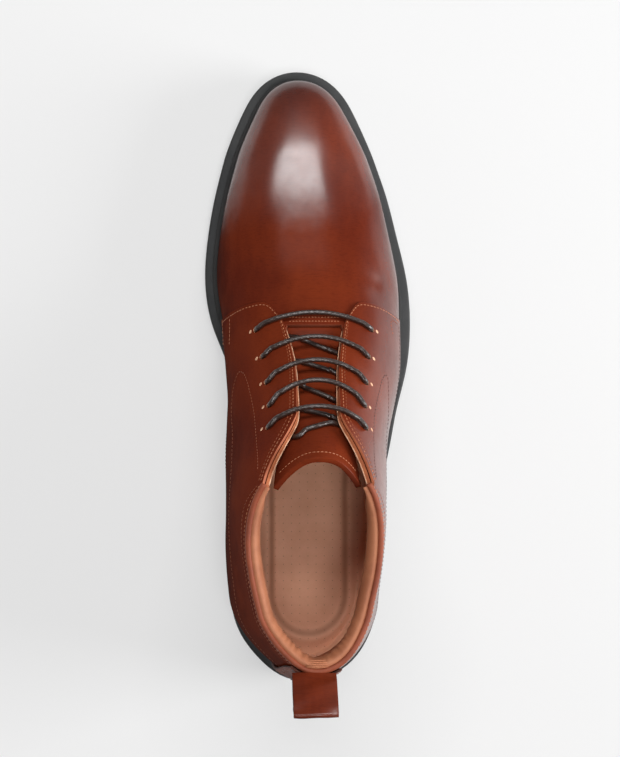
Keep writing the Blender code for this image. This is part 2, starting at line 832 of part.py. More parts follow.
def make_tongue(home):
    first, last = TONGUE[0][0], TONGUE[-1][0]
    rows = []
    for j in range(17):
        middle = first + (last - first) * j / 16
        rows.append([tongue_point(middle, i / 5, 0.0) for i in range(-5, 6)])
    shape = sheet(rows)
    bmesh.ops.reverse_faces(shape, faces=shape.faces)
    piece = add_mesh("tongue", shape, home, "leather")
    thicken(piece, TONGUE_THICK, outward=False)


def lace_tube(name, points, home):
    data = bpy.data.curves.new(name, "CURVE")
    data.dimensions = "3D"
    data.bevel_depth = LACE_RADIUS
    data.bevel_resolution = 2
    data.use_fill_caps = True
    line = data.splines.new("POLY")
    line.points.add(len(points) - 1)
    for place, point in zip(line.points, points):
        place.co = (*point, 1)
    data.materials.append(material("lace", name))
    home.objects.link(bpy.data.objects.new(name, data))


def facing_across(at):
    pairs = rounded(FACING_EDGE, 4)
    return float(np.interp(at, [p[0] for p in pairs], [p[1] for p in pairs]))


def bar_points(at, across, bow):
    """From eyelet to eyelet over both facings, straight across the gap between them."""
    out = QUARTER_WALL + OVERLAY_GAP + CLEARANCE + LACE_RADIUS
    end = across - LACE_HOLE_GAP / HALF_BALL
    edge = facing_across(at - BAR_EDGE_BOW * bow)
    sides = {}
    for side in ("medial", "lateral"):
        line = []
        for i in range(5):
            place = end + (edge - end) * i / 4
            here = at - bow * (1 - (place / across) ** 2)
            line.append(surface(side, here, v_across(side, here, place), out))
        sides[side] = line
    left, right = sides["medial"][-1], sides["lateral"][-1]
    middle = []
    for i in (1, 2, 3):
        t = i / 4
        crown = 4 * t * (1 - t)
        forward = bow * FORE_LENGTH * (edge / across) ** 2
        middle.append(left.lerp(right, t) + Vector((0, forward, LACE_CROWN)) * crown)
    return sides["medial"] + middle + sides["lateral"][::-1]


def cross_points(start, end):
    """Over the tongue, from under one facing's edge to the other's."""
    points = []
    for i in range(7):
        t = i / 6
        at = start + (end - start) * t
        share = (2 * t - 1) * CROSSING_REACH
        points.append(tongue_point(at, share, CLEARANCE + LACE_RADIUS))
    return points


def make_laces(home):
    for i, (at, across, bow) in enumerate(EYELETS):
        lace_tube("lace_bar_%d" % (i + 1), bar_points(at, across, bow), home)
    for i, (start, end) in enumerate(CROSSINGS):
        lace_tube("lace_cross_%d" % (i + 1), cross_points(start, end), home)


def back_line(z):
    """Y of the backstay's outer face at a height, on the centre of the back."""
    out = 2 * OVERLAY_GAP + QUARTER_WALL + BACKSTAY_WALL

    def test(v):
        return z - surface("lateral", BACK, v, out).z

    return surface("lateral", BACK, seek(test, BULGE_V, 1.0), out).y


def loop_leg(start, end, bow):
    """Points from start towards end, bowed to one side in the plane of the back."""
    along = (end - start).normalized()
    side = Vector((0, along.z, -along.y))
    steps = [i / 5 for i in range(5)]
    return [start.lerp(end, t) + side * (4 * bow * t * (1 - t)) for t in steps]


def make_pull_loop(home):
    """A strap folded into a flat loop: its outer leg lies on the backstay."""
    edge = wall("lateral", BACK, v_collar("lateral", BACK))
    top = edge.z
    tip = Vector((0, back_line(top) - LOOP_REACH, top + LOOP_RISE))
    leg = []
    for i in range(4):
        z = top - LOOP_DROP * (1 - i / 3)
        leg.append(Vector((0, back_line(z) - CLEARANCE, z)))
    root = Vector((0, leg[-1].y + LOOP_LAP, top + LOOP_SEAT))
    lean = (tip - leg[-1]).normalized()
    across = Vector((0, lean.z, -lean.y)) * LOOP_FOLD
    path = loop_leg(root, tip + across, LOOP_BELLY)
    path += [tip + across, tip + lean * LOOP_FOLD, tip - across]
    path += loop_leg(leg[-1], tip - across, -LOOP_BELLY)[:0:-1] + leg[::-1]
    left = edge.x - HEEL_LEAN - LOOP_WIDTH / 2
    shape = bmesh.new()
    low = [shape.verts.new((left, p.y, p.z)) for p in path]
    high = [shape.verts.new((left + LOOP_WIDTH, p.y, p.z)) for p in path]
    for i in range(len(path) - 1):
        shape.faces.new((low[i], low[i + 1], high[i + 1], high[i]))
    piece = add_mesh("pull_loop", shape, home, "leather")
    thicken(piece, LOOP_STRAP, outward=True)


def main():
    clear_scene()
    home = new_collection("chukka_boot")
    cutters = new_collection("cutters")
    make_outsole(home, cutters)
    make_heel(home, cutters)
    make_welt(home)
    make_insole(home)
    upper = make_upper(home, cutters)
    holes = eyelet_cutter(cutters)
    cut(upper, holes)
    make_quarter("lateral", home, holes)
    make_quarter("medial", home, holes)
    make_backstay(home)
    make_tongue(home)
    make_laces(home)
    make_pull_loop(home)


main()
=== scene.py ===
import math

import bmesh
import bpy
import numpy as np
from mathutils import Matrix, Vector


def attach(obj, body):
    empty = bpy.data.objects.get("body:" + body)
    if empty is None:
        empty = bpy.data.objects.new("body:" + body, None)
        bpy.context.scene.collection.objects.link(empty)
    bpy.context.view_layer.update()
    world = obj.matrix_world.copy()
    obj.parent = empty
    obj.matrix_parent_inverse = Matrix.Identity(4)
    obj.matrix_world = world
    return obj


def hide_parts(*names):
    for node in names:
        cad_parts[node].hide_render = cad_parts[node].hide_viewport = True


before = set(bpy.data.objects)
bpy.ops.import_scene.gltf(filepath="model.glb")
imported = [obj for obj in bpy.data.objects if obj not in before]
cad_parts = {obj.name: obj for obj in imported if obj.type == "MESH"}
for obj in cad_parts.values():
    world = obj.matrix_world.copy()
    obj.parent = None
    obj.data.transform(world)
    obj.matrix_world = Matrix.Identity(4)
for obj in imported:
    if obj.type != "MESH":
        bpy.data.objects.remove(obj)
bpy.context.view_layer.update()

print("frame loaded:", len(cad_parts), "nodes")

# The last: the form that every piece of the boot follows, in metres.
# side is -1 on the inner side of the foot and 1 on the outer side. The station at runs from
# 0 at the toe tip to 1 at the heel axis and 1.225 at the centre of the back. The share up runs
# from 0 at the feather edge to 1 at the ridge.
last = {
    "soleLength": 0.3095, "heelBack": 0.0365, "toeRim": 0.0058, "heelAxis": 0.0080,
    "halfBall": 0.0457, "rimWidth": 0.0062, "shaftHeight": 0.1300,
    "heelLean": 0.0010, "ankleHollow": 0.0026, "ankleHeight": 0.1040, "ankleSpread": 0.0240,
    "heelPartStart": 0.740, "heelPartEnd": 0.960,
    "bulgeShare": 0.22, "toeClose": 0.161, "backStation": 1.225,
}
halfBall = last["halfBall"]
shaftHeight = last["shaftHeight"]
backStation = last["backStation"]
bulgeShare = last["bulgeShare"]
toeTip = last["soleLength"] - last["heelBack"] - last["toeRim"]
foreLength = toeTip - last["heelAxis"]
heelToToe = last["soleLength"] - last["heelBack"]
clearance = 0.0003

# Widths and tucks are shares of halfBall, heights of shaftHeight, rims of rimWidth.
sectionColumns = (
    "at", "spine", "inner", "outer", "bulge", "rise", "square",
    "innerTuck", "outerTuck", "innerRim", "outerRim",
)
sectionRows = (
    (0.000, -0.066, 0.635, 0.671, 0.231, 0.154, 2.10, 0.044, 0.044, 0.970, 0.970),
    (0.063, -0.066, 0.582, 0.641, 0.223, 0.158, 2.10, 0.044, 0.044, 1.060, 0.960),
    (0.132, -0.062, 0.646, 0.721, 0.215, 0.177, 2.12, 0.040, 0.040, 1.060, 0.860),
    (0.218, -0.044, 0.793, 0.872, 0.208, 0.208, 2.15, 0.040, 0.040, 1.020, 0.880),
    (0.303, -0.007, 0.919, 0.945, 0.208, 0.246, 2.15, 0.036, 0.036, 1.000, 1.020),
    (0.392, 0.028, 0.985, 1.012, 0.212, 0.288, 2.15, 0.036, 0.036, 0.985, 1.120),
    (0.481, 0.057, 0.945, 0.990, 0.231, 0.362, 2.10, 0.046, 0.044, 0.780, 1.310),
    (0.558, 0.066, 0.922, 0.955, 0.269, 0.431, 2.05, 0.090, 0.050, -0.210, 1.200),
    (0.636, 0.059, 0.888, 0.865, 0.315, 0.527, 2.00, 0.155, 0.055, -0.790, 1.090),
    (0.706, 0.048, 0.879, 0.810, 0.346, 0.638, 2.00, 0.190, 0.060, -1.130, 0.960),
    (0.775, 0.035, 0.875, 0.800, 0.362, 0.785, 2.10, 0.190, 0.066, -1.030, 0.500),
    (0.853, 0.020, 0.862, 0.780, 0.369, 0.885, 2.32, 0.155, 0.066, -0.690, 0.380),
    (0.930, 0.004, 0.838, 0.768, 0.377, 0.915, 2.10, 0.115, 0.066, -0.320, 0.460),
    (1.000, -0.013, 0.778, 0.745, 0.385, 0.923, 1.76, 0.080, 0.066, 0.080, 0.730),
    (1.075, -0.013, 0.712, 0.722, 0.385, 0.923, 1.70, 0.060, 0.060, 0.780, 1.100),
    (1.150, -0.013, 0.720, 0.760, 0.385, 0.923, 1.76, 0.060, 0.060, 1.160, 1.400),
    (1.225, -0.013, 0.800, 0.800, 0.385, 0.923, 1.76, 0.066, 0.066, 1.290, 1.290),
    (1.300, -0.013, 0.720, 0.760, 0.385, 0.923, 1.76, 0.060, 0.060, 1.160, 1.400),
)
# Height of the collar line, a share of shaftHeight, at shares of the length from heel to toe.
collarRows = (
    (-0.110, 1.010), (-0.065, 1.006), (0.000, 0.978), (0.080, 0.962),
    (0.160, 0.966), (0.230, 0.984), (0.300, 1.010),
)
# Edge of the facings: station, and share of halfBall across from the spine.
facingRows = (
    (0.475, 0.333), (0.508, 0.280), (0.558, 0.227), (0.598, 0.213), (0.640, 0.211),
    (0.655, 0.222), (0.679, 0.290), (0.714, 0.405), (0.747, 0.490), (0.770, 0.530),
)
# Front edge of the quarters, in the same measures, from its lower corner to the facing.
tabRows = (
    (0.459, 0.858), (0.448, 0.730), (0.442, 0.590), (0.4435, 0.475), (0.4595, 0.395), (0.475, 0.333),
)
# Lower edge of the quarters: station, and how far up the inner and the outer wall it lies.
footRows = (
    (0.470, 0.330, 0.400), (0.540, 0.310, 0.380), (0.610, 0.290, 0.340), (0.680, 0.250, 0.280),
    (0.740, 0.190, 0.200), (0.790, 0.120, 0.120), (0.840, 0.050, 0.050), (0.885, 0.016, 0.016),
    (1.020, 0.016, 0.016), (1.221, 0.016, 0.016),
)
collarCorner = 0.770
throat = 0.4825


class SplineTable:
    # natural cubic splines through the columns of a table

    def __init__(self, columns, rows):
        data = np.array(rows, float)
        self.key = data[:, 0]
        self.values = {name: data[:, i] for i, name in enumerate(columns)}
        self.bends = {name: self.bendsOf(values) for name, values in self.values.items()}

    def bendsOf(self, values):
        step = np.diff(self.key)
        count = len(values)
        matrix, right = np.eye(count), np.zeros(count)
        for i in range(1, count - 1):
            matrix[i, i - 1 : i + 2] = step[i - 1], 2 * (step[i - 1] + step[i]), step[i]
            rise = (values[i + 1] - values[i]) / step[i]
            fall = (values[i] - values[i - 1]) / step[i - 1]
            right[i] = 6 * (rise - fall)
        return np.linalg.solve(matrix, right)

    def read(self, name, at):
        at = np.asarray(at, float)
        i = np.clip(np.searchsorted(self.key, at) - 1, 0, len(self.key) - 2)
        span = self.key[i + 1] - self.key[i]
        a = (self.key[i + 1] - at) / span
        b = 1 - a
        values, bends = self.values[name], self.bends[name]
        curve = ((a**3 - a) * bends[i] + (b**3 - b) * bends[i + 1]) * span**2 / 6
        return a * values[i] + b * values[i + 1] + curve


sections = SplineTable(sectionColumns, sectionRows)
collarLine = SplineTable(("along", "height"), collarRows)
facingLine = SplineTable(("at", "across"), facingRows)


def smoothStep(share):
    t = np.clip(share, 0, 1)
    return t**3 * (10 - 15 * t + 6 * t**2)


def bump(distance, width):
    return np.exp(-((distance / width) ** 2))


def sided(name, side, at):
    # a column of the sections for the side that each point lies on
    return np.where(side > 0, sections.read("outer" + name, at), sections.read("inner" + name, at))


soleLook = {
    "fore": 0.0104, "waist": 0.0080, "seat": 0.0270, "toeSpring": 0.0092, "springStart": 0.1850,
    "springPower": 1.8, "archStart": 0.1350, "seatStart": 0.0200, "welt": 0.0025, "insole": 0.0036,
    "groove": 0.0008, "grooveFoot": 0.0044, "grooveSteps": (0.0, 0.0004, 0.0014, 0.0018),
    "edge": 0.0010, "heelBreast": 0.0480, "heelInset": 0.0006,
}


def soleTop(y):
    start = soleLook["springStart"]
    run = np.maximum(0, (y - start) / (toeTip - start))
    spring = soleLook["toeSpring"] * run ** soleLook["springPower"]
    share = (soleLook["archStart"] - y) / (soleLook["archStart"] - soleLook["seatStart"])
    return soleLook["fore"] + spring + (soleLook["seat"] - soleLook["fore"]) * smoothStep(share)


def soleThickness(y):
    share = 2 * (soleLook["archStart"] - y) / soleLook["archStart"]
    return soleLook["fore"] - (soleLook["fore"] - soleLook["waist"]) * smoothStep(share)


def soleBottom(y):
    return np.maximum(0, soleTop(y) - soleThickness(y))


def featherHeight(y):
    return soleTop(y) + soleLook["welt"] + 2 * clearance


def stationY(at):
    return last["heelAxis"] + (1 - np.minimum(at, 1)) * foreLength


def stationOf(y):
    return 1 - (y - last["heelAxis"]) / foreLength


def fanAngle(at):
    return np.maximum(0, at - 1) / (backStation - 1) * math.pi / 2


def toeRound(at):
    c = np.maximum(0, 1 - at / last["toeClose"])
    return np.sqrt(np.maximum(0, 1 - c * c))


def spineX(at):
    return sections.read("spine", at) * halfBall


def bulgePlan(side, at):
    reach = sided("", side, at) * halfBall * toeRound(at)
    x = spineX(at) + side * np.cos(fanAngle(at)) * reach
    return np.stack([x, stationY(at) - np.sin(fanAngle(at)) * reach], -1)


def planNormal(side, at):
    small = np.maximum(1e-5, np.minimum(0.004, np.minimum(at, backStation - at) / 2))
    along = bulgePlan(side, at + small) - bulgePlan(side, at - small)
    normal = np.stack([-along[..., 1], along[..., 0]], -1) * side[..., None]
    normal = normal / np.maximum(1e-12, np.linalg.norm(normal, axis=-1, keepdims=True))
    normal = np.where((at < 1e-6)[..., None], (0.0, 1.0), normal)
    return np.where((at > backStation - 1e-6)[..., None], (0.0, -1.0), normal)


def filled(*values):
    return [np.array(v, float) for v in np.broadcast_arrays(*values)]


def footPlan(side, at, out=0.0):
    side, at, out = filled(side, at, out)
    tuck = sided("Tuck", side, at) * halfBall
    return bulgePlan(side, at) + planNormal(side, at) * (out - tuck)[..., None]


def solePlan(side, at, inset=0.0):
    side, at, inset = filled(side, at, inset)
    rim = sided("Rim", side, at) * last["rimWidth"]
    return bulgePlan(side, at) + planNormal(side, at) * (rim - inset)[..., None]


def wallPoint(side, at, up):
    side, at, up = filled(side, at, up)
    bulgeZ = sections.read("bulge", at) * shaftHeight
    bulge, foot = bulgePlan(side, at), footPlan(side, at)
    q = np.clip(up / bulgeShare, 0, 1)
    lowPlan = bulge + (foot - bulge) * ((1 - q) ** 2)[..., None]
    lowZ = featherHeight(foot[..., 1])
    low = np.concatenate([lowPlan, (lowZ + (bulgeZ - lowZ) * q)[..., None]], -1)
    angle = np.clip((up - bulgeShare) / (1 - bulgeShare), 0, 1) * math.pi / 2
    power = sections.read("square", at)
    c, s = np.cos(angle), np.sin(angle)
    swell = (np.abs(c) ** power + s**power) ** (-1 / power)
    out = sided("", side, at) * halfBall * toeRound(at) * c * swell
    z = bulgeZ + sections.read("rise", at) * shaftHeight * toeRound(at) * s * swell
    span = last["heelPartEnd"] - last["heelPartStart"]
    rear = smoothStep((at - last["heelPartStart"]) / span)
    out = out - last["ankleHollow"] * rear * bump(z - last["ankleHeight"], last["ankleSpread"]) * c
    lean = last["heelLean"] * rear * smoothStep((z - bulgeZ) / (shaftHeight - bulgeZ))
    x = spineX(at) + side * np.cos(fanAngle(at)) * out + lean
    high = np.stack([x, stationY(at) - np.sin(fanAngle(at)) * out, z], -1)
    return np.where((up < bulgeShare)[..., None], low, high)


def wallNormal(side, at, up):
    side, at, up = filled(side, at, up)
    along = wallPoint(side, at + 0.003, up) - wallPoint(side, np.maximum(at - 0.003, 0), up)
    rise = wallPoint(side, at, np.minimum(up + 0.01, 1)) - wallPoint(side, at, np.maximum(up - 0.01, 0))
    normal = np.cross(rise, along) * side[..., None]
    normal = normal / np.maximum(1e-12, np.linalg.norm(normal, axis=-1, keepdims=True))
    return np.where(((at < 0.002) & (up > bulgeShare))[..., None], (0.0, 1.0, 0.0), normal)


# Soft troughs pressed into the leather: side, start and end as station and share up, width, depth
troughRows = (
    (1, 0.405, 0.62, 0.380, 0.80, 0.0060, 0.00070), (1, 0.425, 0.45, 0.412, 0.60, 0.0070, 0.00055),
    (-1, 0.400, 0.58, 0.385, 0.78, 0.0065, 0.00055), (-1, 0.430, 0.42, 0.418, 0.55, 0.0070, 0.00045),
    (1, 0.585, 0.66, 0.570, 0.74, 0.0045, 0.00060), (1, 0.628, 0.68, 0.612, 0.75, 0.0045, 0.00070),
    (1, 0.668, 0.70, 0.655, 0.77, 0.0050, 0.00070), (1, 0.725, 0.50, 0.800, 0.38, 0.0110, 0.00100),
    (1, 0.690, 0.36, 0.745, 0.30, 0.0090, 0.00080), (-1, 0.700, 0.40, 0.790, 0.33, 0.0120, 0.00110),
    (-1, 0.655, 0.52, 0.740, 0.47, 0.0100, 0.00080), (-1, 0.860, 0.26, 0.950, 0.30, 0.0100, 0.00060),
    (1, 0.880, 0.26, 0.960, 0.30, 0.0100, 0.00060), (-1, 0.560, 0.34, 0.620, 0.30, 0.0080, 0.00060),
)
wallRun = 0.085  # a wall's length from the feather edge to the ridge, about
waveDepth = 0.00016


def troughs(side, at, up):
    depth = 0 * at
    spot = np.stack([at * foreLength, up * wallRun], -1)
    for rowSide, atStart, upStart, atEnd, upEnd, width, deep in troughRows:
        start = np.array([atStart * foreLength, upStart * wallRun])
        way = np.array([atEnd * foreLength, upEnd * wallRun]) - start
        share = np.clip(((spot - start) @ way) / (way @ way), 0, 1)
        away = np.linalg.norm(spot - start - share[..., None] * way, axis=-1)
        depth = depth + np.where(side * rowSide > 0, deep * bump(away, width), 0)
    wave = np.sin(at * 31 + side * 1.7) * np.sin(up * 17 + at * 9) * waveDepth
    wave = wave * smoothStep(at / 0.2) * smoothStep((1 - up) / 0.2)
    return depth + wave * smoothStep((0.95 - at) / 0.1)


def onWall(side, at, up, out=0.0):
    side, at, up, out = filled(side, at, up, out)
    out = out - troughs(side, at, up)
    return wallPoint(side, at, up) + wallNormal(side, at, up) * out[..., None]


def seek(test, shape, low=bulgeShare, high=1.0):
    low, high = np.full(shape, low), np.full(shape, high)
    for _ in range(32):
        middle = (low + high) / 2
        above = test(middle) > 0
        low, high = np.where(above, middle, low), np.where(above, high, middle)
    return (low + high) / 2


def upAcross(side, at, across):
    side, at, across = filled(side, at, across)

    def test(up):
        point = wallPoint(side, at, up)
        run = np.hypot(point[..., 0] - spineX(at), point[..., 1] - stationY(at))
        return run - across * halfBall

    return seek(test, at.shape)


def collarHeight(y):
    return collarLine.read("height", y / heelToToe) * shaftHeight


def upBelowCollar(side, at, depth=0.0):
    side, at, depth = filled(side, at, depth)

    def test(up):
        point = wallPoint(side, at, up)
        return collarHeight(point[..., 1]) - depth - point[..., 2]

    return seek(test, at.shape)


def upFacing(side, at, inset=0.0):
    side, at, inset = filled(side, at, inset)
    return upAcross(side, at, facingLine.read("across", at) + inset / halfBall)


def smoothCurve(rows, fine=12):
    rows = np.array(rows, float)
    keys = np.arange(len(rows))
    columns = ["c%d" % i for i in range(rows.shape[1])]
    table = SplineTable(["key"] + columns, np.column_stack([keys, rows]))
    steps = np.linspace(0, keys[-1], fine * keys[-1] + 1)
    return np.stack([table.read(name, steps) for name in columns], -1)


def runLength(points):
    return np.concatenate([[0], np.cumsum(np.linalg.norm(np.diff(points, axis=0), axis=1))])


def readRun(places, run, values):
    return np.stack([np.interp(places, run, column) for column in values.T], -1)


def roundBack(share):
    # side and station from the collar's inner corner at -1, round the back, to the outer one at 1
    side = np.where(share < 0, -1.0, 1.0)
    return side, backStation - np.abs(share) * (backStation - collarCorner)


def toeSpread(share, end):
    # stations from the toe tip, close together where the toe rounds off
    close = last["toeClose"]
    turn = 1 / (1 + (end / close - 1) / (math.pi / 2))
    slope = close * (math.pi / 2) / turn
    bent = close * (1 - np.cos(math.pi / 2 * np.minimum(share, turn) / turn))
    return np.where(share < turn, bent, np.minimum(end, close + slope * (share - turn)))


# Mesh helpers
endDensity = 0.6


def addGrid(shape, columns, rows, place):
    # a flat grid whose points are then placed, with station and share up kept as its UV
    made = bmesh.ops.create_grid(shape, x_segments=columns, y_segments=rows, size=0.5)
    verts = made["verts"]
    spots = np.array([vert.co[:2] for vert in verts]) + 0.5
    points, pairs = place(spots[:, 0], spots[:, 1])
    layer = shape.loops.layers.uv.active
    for vert, point, pair in zip(verts, points.tolist(), np.stack(filled(*pairs), -1).tolist()):
        vert.co = point
        for loop in vert.link_loops:
            loop[layer].uv = pair
    return verts


def newShape():
    shape = bmesh.new()
    shape.loops.layers.uv.new("UVMap")
    return shape


def mergeShape(shape, reach=2e-5):
    bmesh.ops.remove_doubles(shape, verts=shape.verts, dist=reach)
    bmesh.ops.dissolve_degenerate(shape, edges=shape.edges, dist=1e-6)


def faceAway(shape, middle=(0.0, 0.1, 0.045)):
    # every face points away from the middle of the boot
    bmesh.ops.recalc_face_normals(shape, faces=shape.faces)
    lean = sum(f.normal.dot(f.calc_center_median() - Vector(middle)) * f.calc_area() for f in shape.faces)
    if lean < 0:
        bmesh.ops.reverse_faces(shape, faces=shape.faces)


def openEdges(shape):
    return [edge for edge in shape.edges if edge.is_boundary]


def closeEnds(shape, verts):
    bmesh.ops.remove_doubles(shape, verts=verts, dist=1e-6)
    bmesh.ops.holes_fill(shape, edges=openEdges(shape), sides=0)


def standOn(spot, side, at, up):
    # sets a shape on the wall at a spot, with its own z outwards
    normal = Vector(wallNormal(side, at, up).tolist())
    turn = normal.to_track_quat("Z", "Y").to_matrix().to_4x4()
    return Matrix.Translation(spot.tolist()) @ turn


def link(name, data):
    made = bpy.data.objects.new(name, data)
    bpy.context.scene.collection.objects.link(made)
    return made


def addObject(name, shape, materials):
    mesh = bpy.data.meshes.new(name)
    shape.to_mesh(mesh)
    shape.free()
    for material in materials:
        mesh.materials.append(material)
    return link(name, mesh)


def finishPiece(name, shape, looks, stands=()):
    piece = addObject(name, shape, [finishes[look] for look in looks])
    piece.data.shade_smooth()
    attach(piece, "root")
    if stands:
        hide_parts(*stands)
    return piece


def thicken(piece, thickness, inner=0, rim=0, edge=0.0, inward=True):
    wall = piece.modifiers.new("wall", "SOLIDIFY")
    wall.thickness = thickness
    wall.offset = -1 if inward else 1
    wall.use_even_offset = True
    wall.material_offset = inner if inward else 0
    wall.material_offset_rim = rim
    if edge:
        soft = piece.modifiers.new("softEdge", "BEVEL")
        soft.width = edge
        soft.segments = 2
        soft.limit_method = "ANGLE"
        soft.angle_limit = math.radians(50)


def cutBy(piece, cutter):
    cut = piece.modifiers.new("holes", "BOOLEAN")
    cut.operation = "DIFFERENCE"
    cut.object = cutter
    cut.solver = "EXACT"
    cut.material_mode = "TRANSFER"


def settle(piece, angle=55):
    # the modifiers become part of the mesh
    graph = bpy.context.evaluated_depsgraph_get()
    mesh = bpy.data.meshes.new_from_object(piece.evaluated_get(graph))
    piece.modifiers.clear()
    piece.data = mesh
    mesh.shade_smooth()
    mesh.set_sharp_from_angle(angle=math.radians(angle))
    return piece


def denseEnds(share):
    # rows of a grid draw together towards its ends
    return share - endDensity * np.sin(2 * math.pi * share) / (2 * math.pi)


# Shader helpers
class Term:
    # a shader socket that takes part in sums

    def __init__(self, finish, socket):
        self.finish = finish
        self.socket = socket

    def __add__(self, other):
        return self.finish.sum("ADD", self, other)

    def __sub__(self, other):
        return self.finish.sum("SUBTRACT", self, other)

    def __rsub__(self, other):
        return self.finish.sum("SUBTRACT", other, self)

    def __mul__(self, other):
        return self.finish.sum("MULTIPLY", self, other)

    __radd__ = __add__
    __rmul__ = __mul__


class Finish:
    # the nodes of one material, or of the world, and the few moves that they need

    def __init__(self, owner, shader="Principled BSDF", **values):
        # owner is a new material's name, or the world
        self.material = bpy.data.materials.new(owner) if isinstance(owner, str) else owner
        self.material.use_nodes = True
        self.tree = self.material.node_tree
        self.shader = self.tree.nodes[shader]
        self.set(**values)

    def set(self, **values):
        sockets = {socket.name.replace(" ", "").lower(): socket for socket in self.shader.inputs}
        for name, value in values.items():
            self.put(sockets[name.lower()], value)

    def put(self, socket, value):
        if isinstance(value, Term):
            self.tree.links.new(value.socket, socket)
        elif isinstance(value, tuple) and len(value) == 3 and socket.type == "RGBA":
            socket.default_value = (*value, 1)
        else:
            socket.default_value = value

    def node(self, kind, settings=None, values=None):
        made = self.tree.nodes.new(kind)
        for name, value in (settings or {}).items():
            setattr(made, name, value)
        for key, value in (values or {}).items():
            self.put(made.inputs[key], value)
        return made

    def sum(self, operation, first, second=0.0):
        made = self.node("ShaderNodeMath", {"operation": operation}, {0: first, 1: second})
        return Term(self, made.outputs[0])

    def place(self, kind="Object"):
        return Term(self, self.node("ShaderNodeTexCoord").outputs[kind])

    def axes(self, kind="Object"):
        made = self.node("ShaderNodeSeparateXYZ", None, {0: self.place(kind)})
        return [Term(self, socket) for socket in made.outputs]

    def stretched(self, scale):
        made = self.node("ShaderNodeMapping", None, {"Vector": self.place(), "Scale": scale})
        return Term(self, made.outputs[0])

    def noise(self, size, detail=3.0, roughness=0.5, vector=None):
        values = {"Vector": vector or self.place(), "Scale": 1 / size, "Detail": detail}
        values["Roughness"] = roughness
        return Term(self, self.node("ShaderNodeTexNoise", None, values).outputs["Fac"])

    def cells(self, size):
        values = {"Vector": self.place(), "Scale": 1 / size}
        return Term(self, self.node("ShaderNodeTexVoronoi", None, values).outputs["Distance"])

    def band(self, value, low, high, below=0.0, above=1.0):
        values = {"Value": value, "From Min": low, "From Max": high, "To Min": below, "To Max": above}
        made = self.node("ShaderNodeMapRange", {"interpolation_type": "SMOOTHSTEP"}, values)
        return Term(self, made.outputs["Result"])

    def mix(self, factor, first, second):
        made = self.node("ShaderNodeMix", {"data_type": "RGBA"}, {0: factor})
        self.put(made.inputs[6], first)
        self.put(made.inputs[7], second)
        return Term(self, made.outputs[2])

    def bump(self, height, distance, strength):
        values = {"Height": height, "Distance": distance, "Strength": strength}
        self.set(normal=Term(self, self.node("ShaderNodeBump", None, values).outputs["Normal"]))


def fromScreen(red, green, blue):
    # a colour as a screen shows it, 0 to 255, made linear
    shares = [value / 255 for value in (red, green, blue)]
    return tuple(s / 12.92 if s <= 0.04045 else ((s + 0.055) / 1.055) ** 2.4 for s in shares)


# Finishes
leatherLook = {
    "mid": fromScreen(86, 31, 19), "glow": fromScreen(112, 44, 22), "dark": fromScreen(28, 9, 7),
    "roughness": 0.46, "grain": 0.00065, "coatRoughness": 0.27, "coatIOR": 1.7,
    "toeBand": (0.235, 0.275), "footBand": (0.12, 0.56),
    "polishBand": (0.186, 0.222), "outerBand": (0.000, 0.024), "outerSlant": 0.12,
}
footbedLook = {
    "light": fromScreen(236, 178, 146), "deep": fromScreen(216, 156, 124),
    # ring is the colour of a painted shadow round the heel's sunk oval
    "ring": fromScreen(120, 72, 52), "prick": fromScreen(84, 50, 38), "prickTurn": 760,
}


def waxedLeather(name, glow=0.5, burnish=1.0, gloss=0.03):
    look = leatherLook
    finish = Finish(name, specularIORLevel=0.0)
    finish.set(coatRoughness=look["coatRoughness"], coatIOR=look["coatIOR"])
    x, y, _ = finish.axes()
    _, up, _ = finish.axes("UV")
    cloud = finish.noise(0.050, 2, 0.5)
    patch = finish.noise(0.009, 4, 0.6)
    streak = finish.noise(0.010, 3, 0.55, finish.stretched((2.2, 0.55, 0.55)))
    warm = finish.band(cloud * 0.70 + streak * 0.20 + patch * 0.10 + (glow - 0.5), 0.30, 0.72)
    colour = finish.mix(warm, look["mid"], look["glow"])
    toe = finish.band(y + (patch - 0.5) * 0.02, *look["toeBand"])
    foot = 1 - finish.band(up + (streak - 0.5) * 0.30, *look["footBand"])
    dark = finish.sum("MAXIMUM", toe * 0.55, foot * 0.75) * burnish
    colour = finish.mix(dark, colour, look["dark"])
    brushed = finish.noise(0.0011, 3, 0.65, finish.stretched((0.30, 1.8, 1.0)))
    colour = finish.mix(finish.band(brushed, 0.42, 0.80) * 0.25, colour, look["dark"])
    grain = finish.cells(look["grain"]) * 0.5 + finish.noise(0.0003, 2, 0.6) * 0.5
    wax = finish.noise(0.005, 4, 0.65)
    rough = look["roughness"] + (wax - 0.5) * 0.20 + (brushed - 0.5) * 0.12 - dark * 0.06
    polish = finish.band(y + (wax - 0.5) * 0.006, *look["polishBand"])
    outer = finish.band(x - y * look["outerSlant"], *look["outerBand"])
    gloss = finish.sum("MAXIMUM", polish, outer) + gloss
    finish.set(baseColor=colour, roughness=rough, coatWeight=gloss * (0.75 + wax * 0.5))
    finish.bump(grain * 0.45 + brushed * 0.40 + patch * 0.3, 0.00018, 0.36)
    return finish.material


def liningLeather(name, colour, deep):
    finish = Finish(name, specularIORLevel=0.35)
    cloud = finish.noise(0.012, 4, 0.6)
    pore = finish.cells(0.0009)
    shade = finish.mix(finish.band(cloud, 0.35, 0.70) * 0.6, fromScreen(*colour), fromScreen(*deep))
    finish.set(baseColor=shade, roughness=0.55 + pore * 0.15)
    finish.bump(pore + cloud * 0.6, 0.00016, 0.45)
    return finish.material


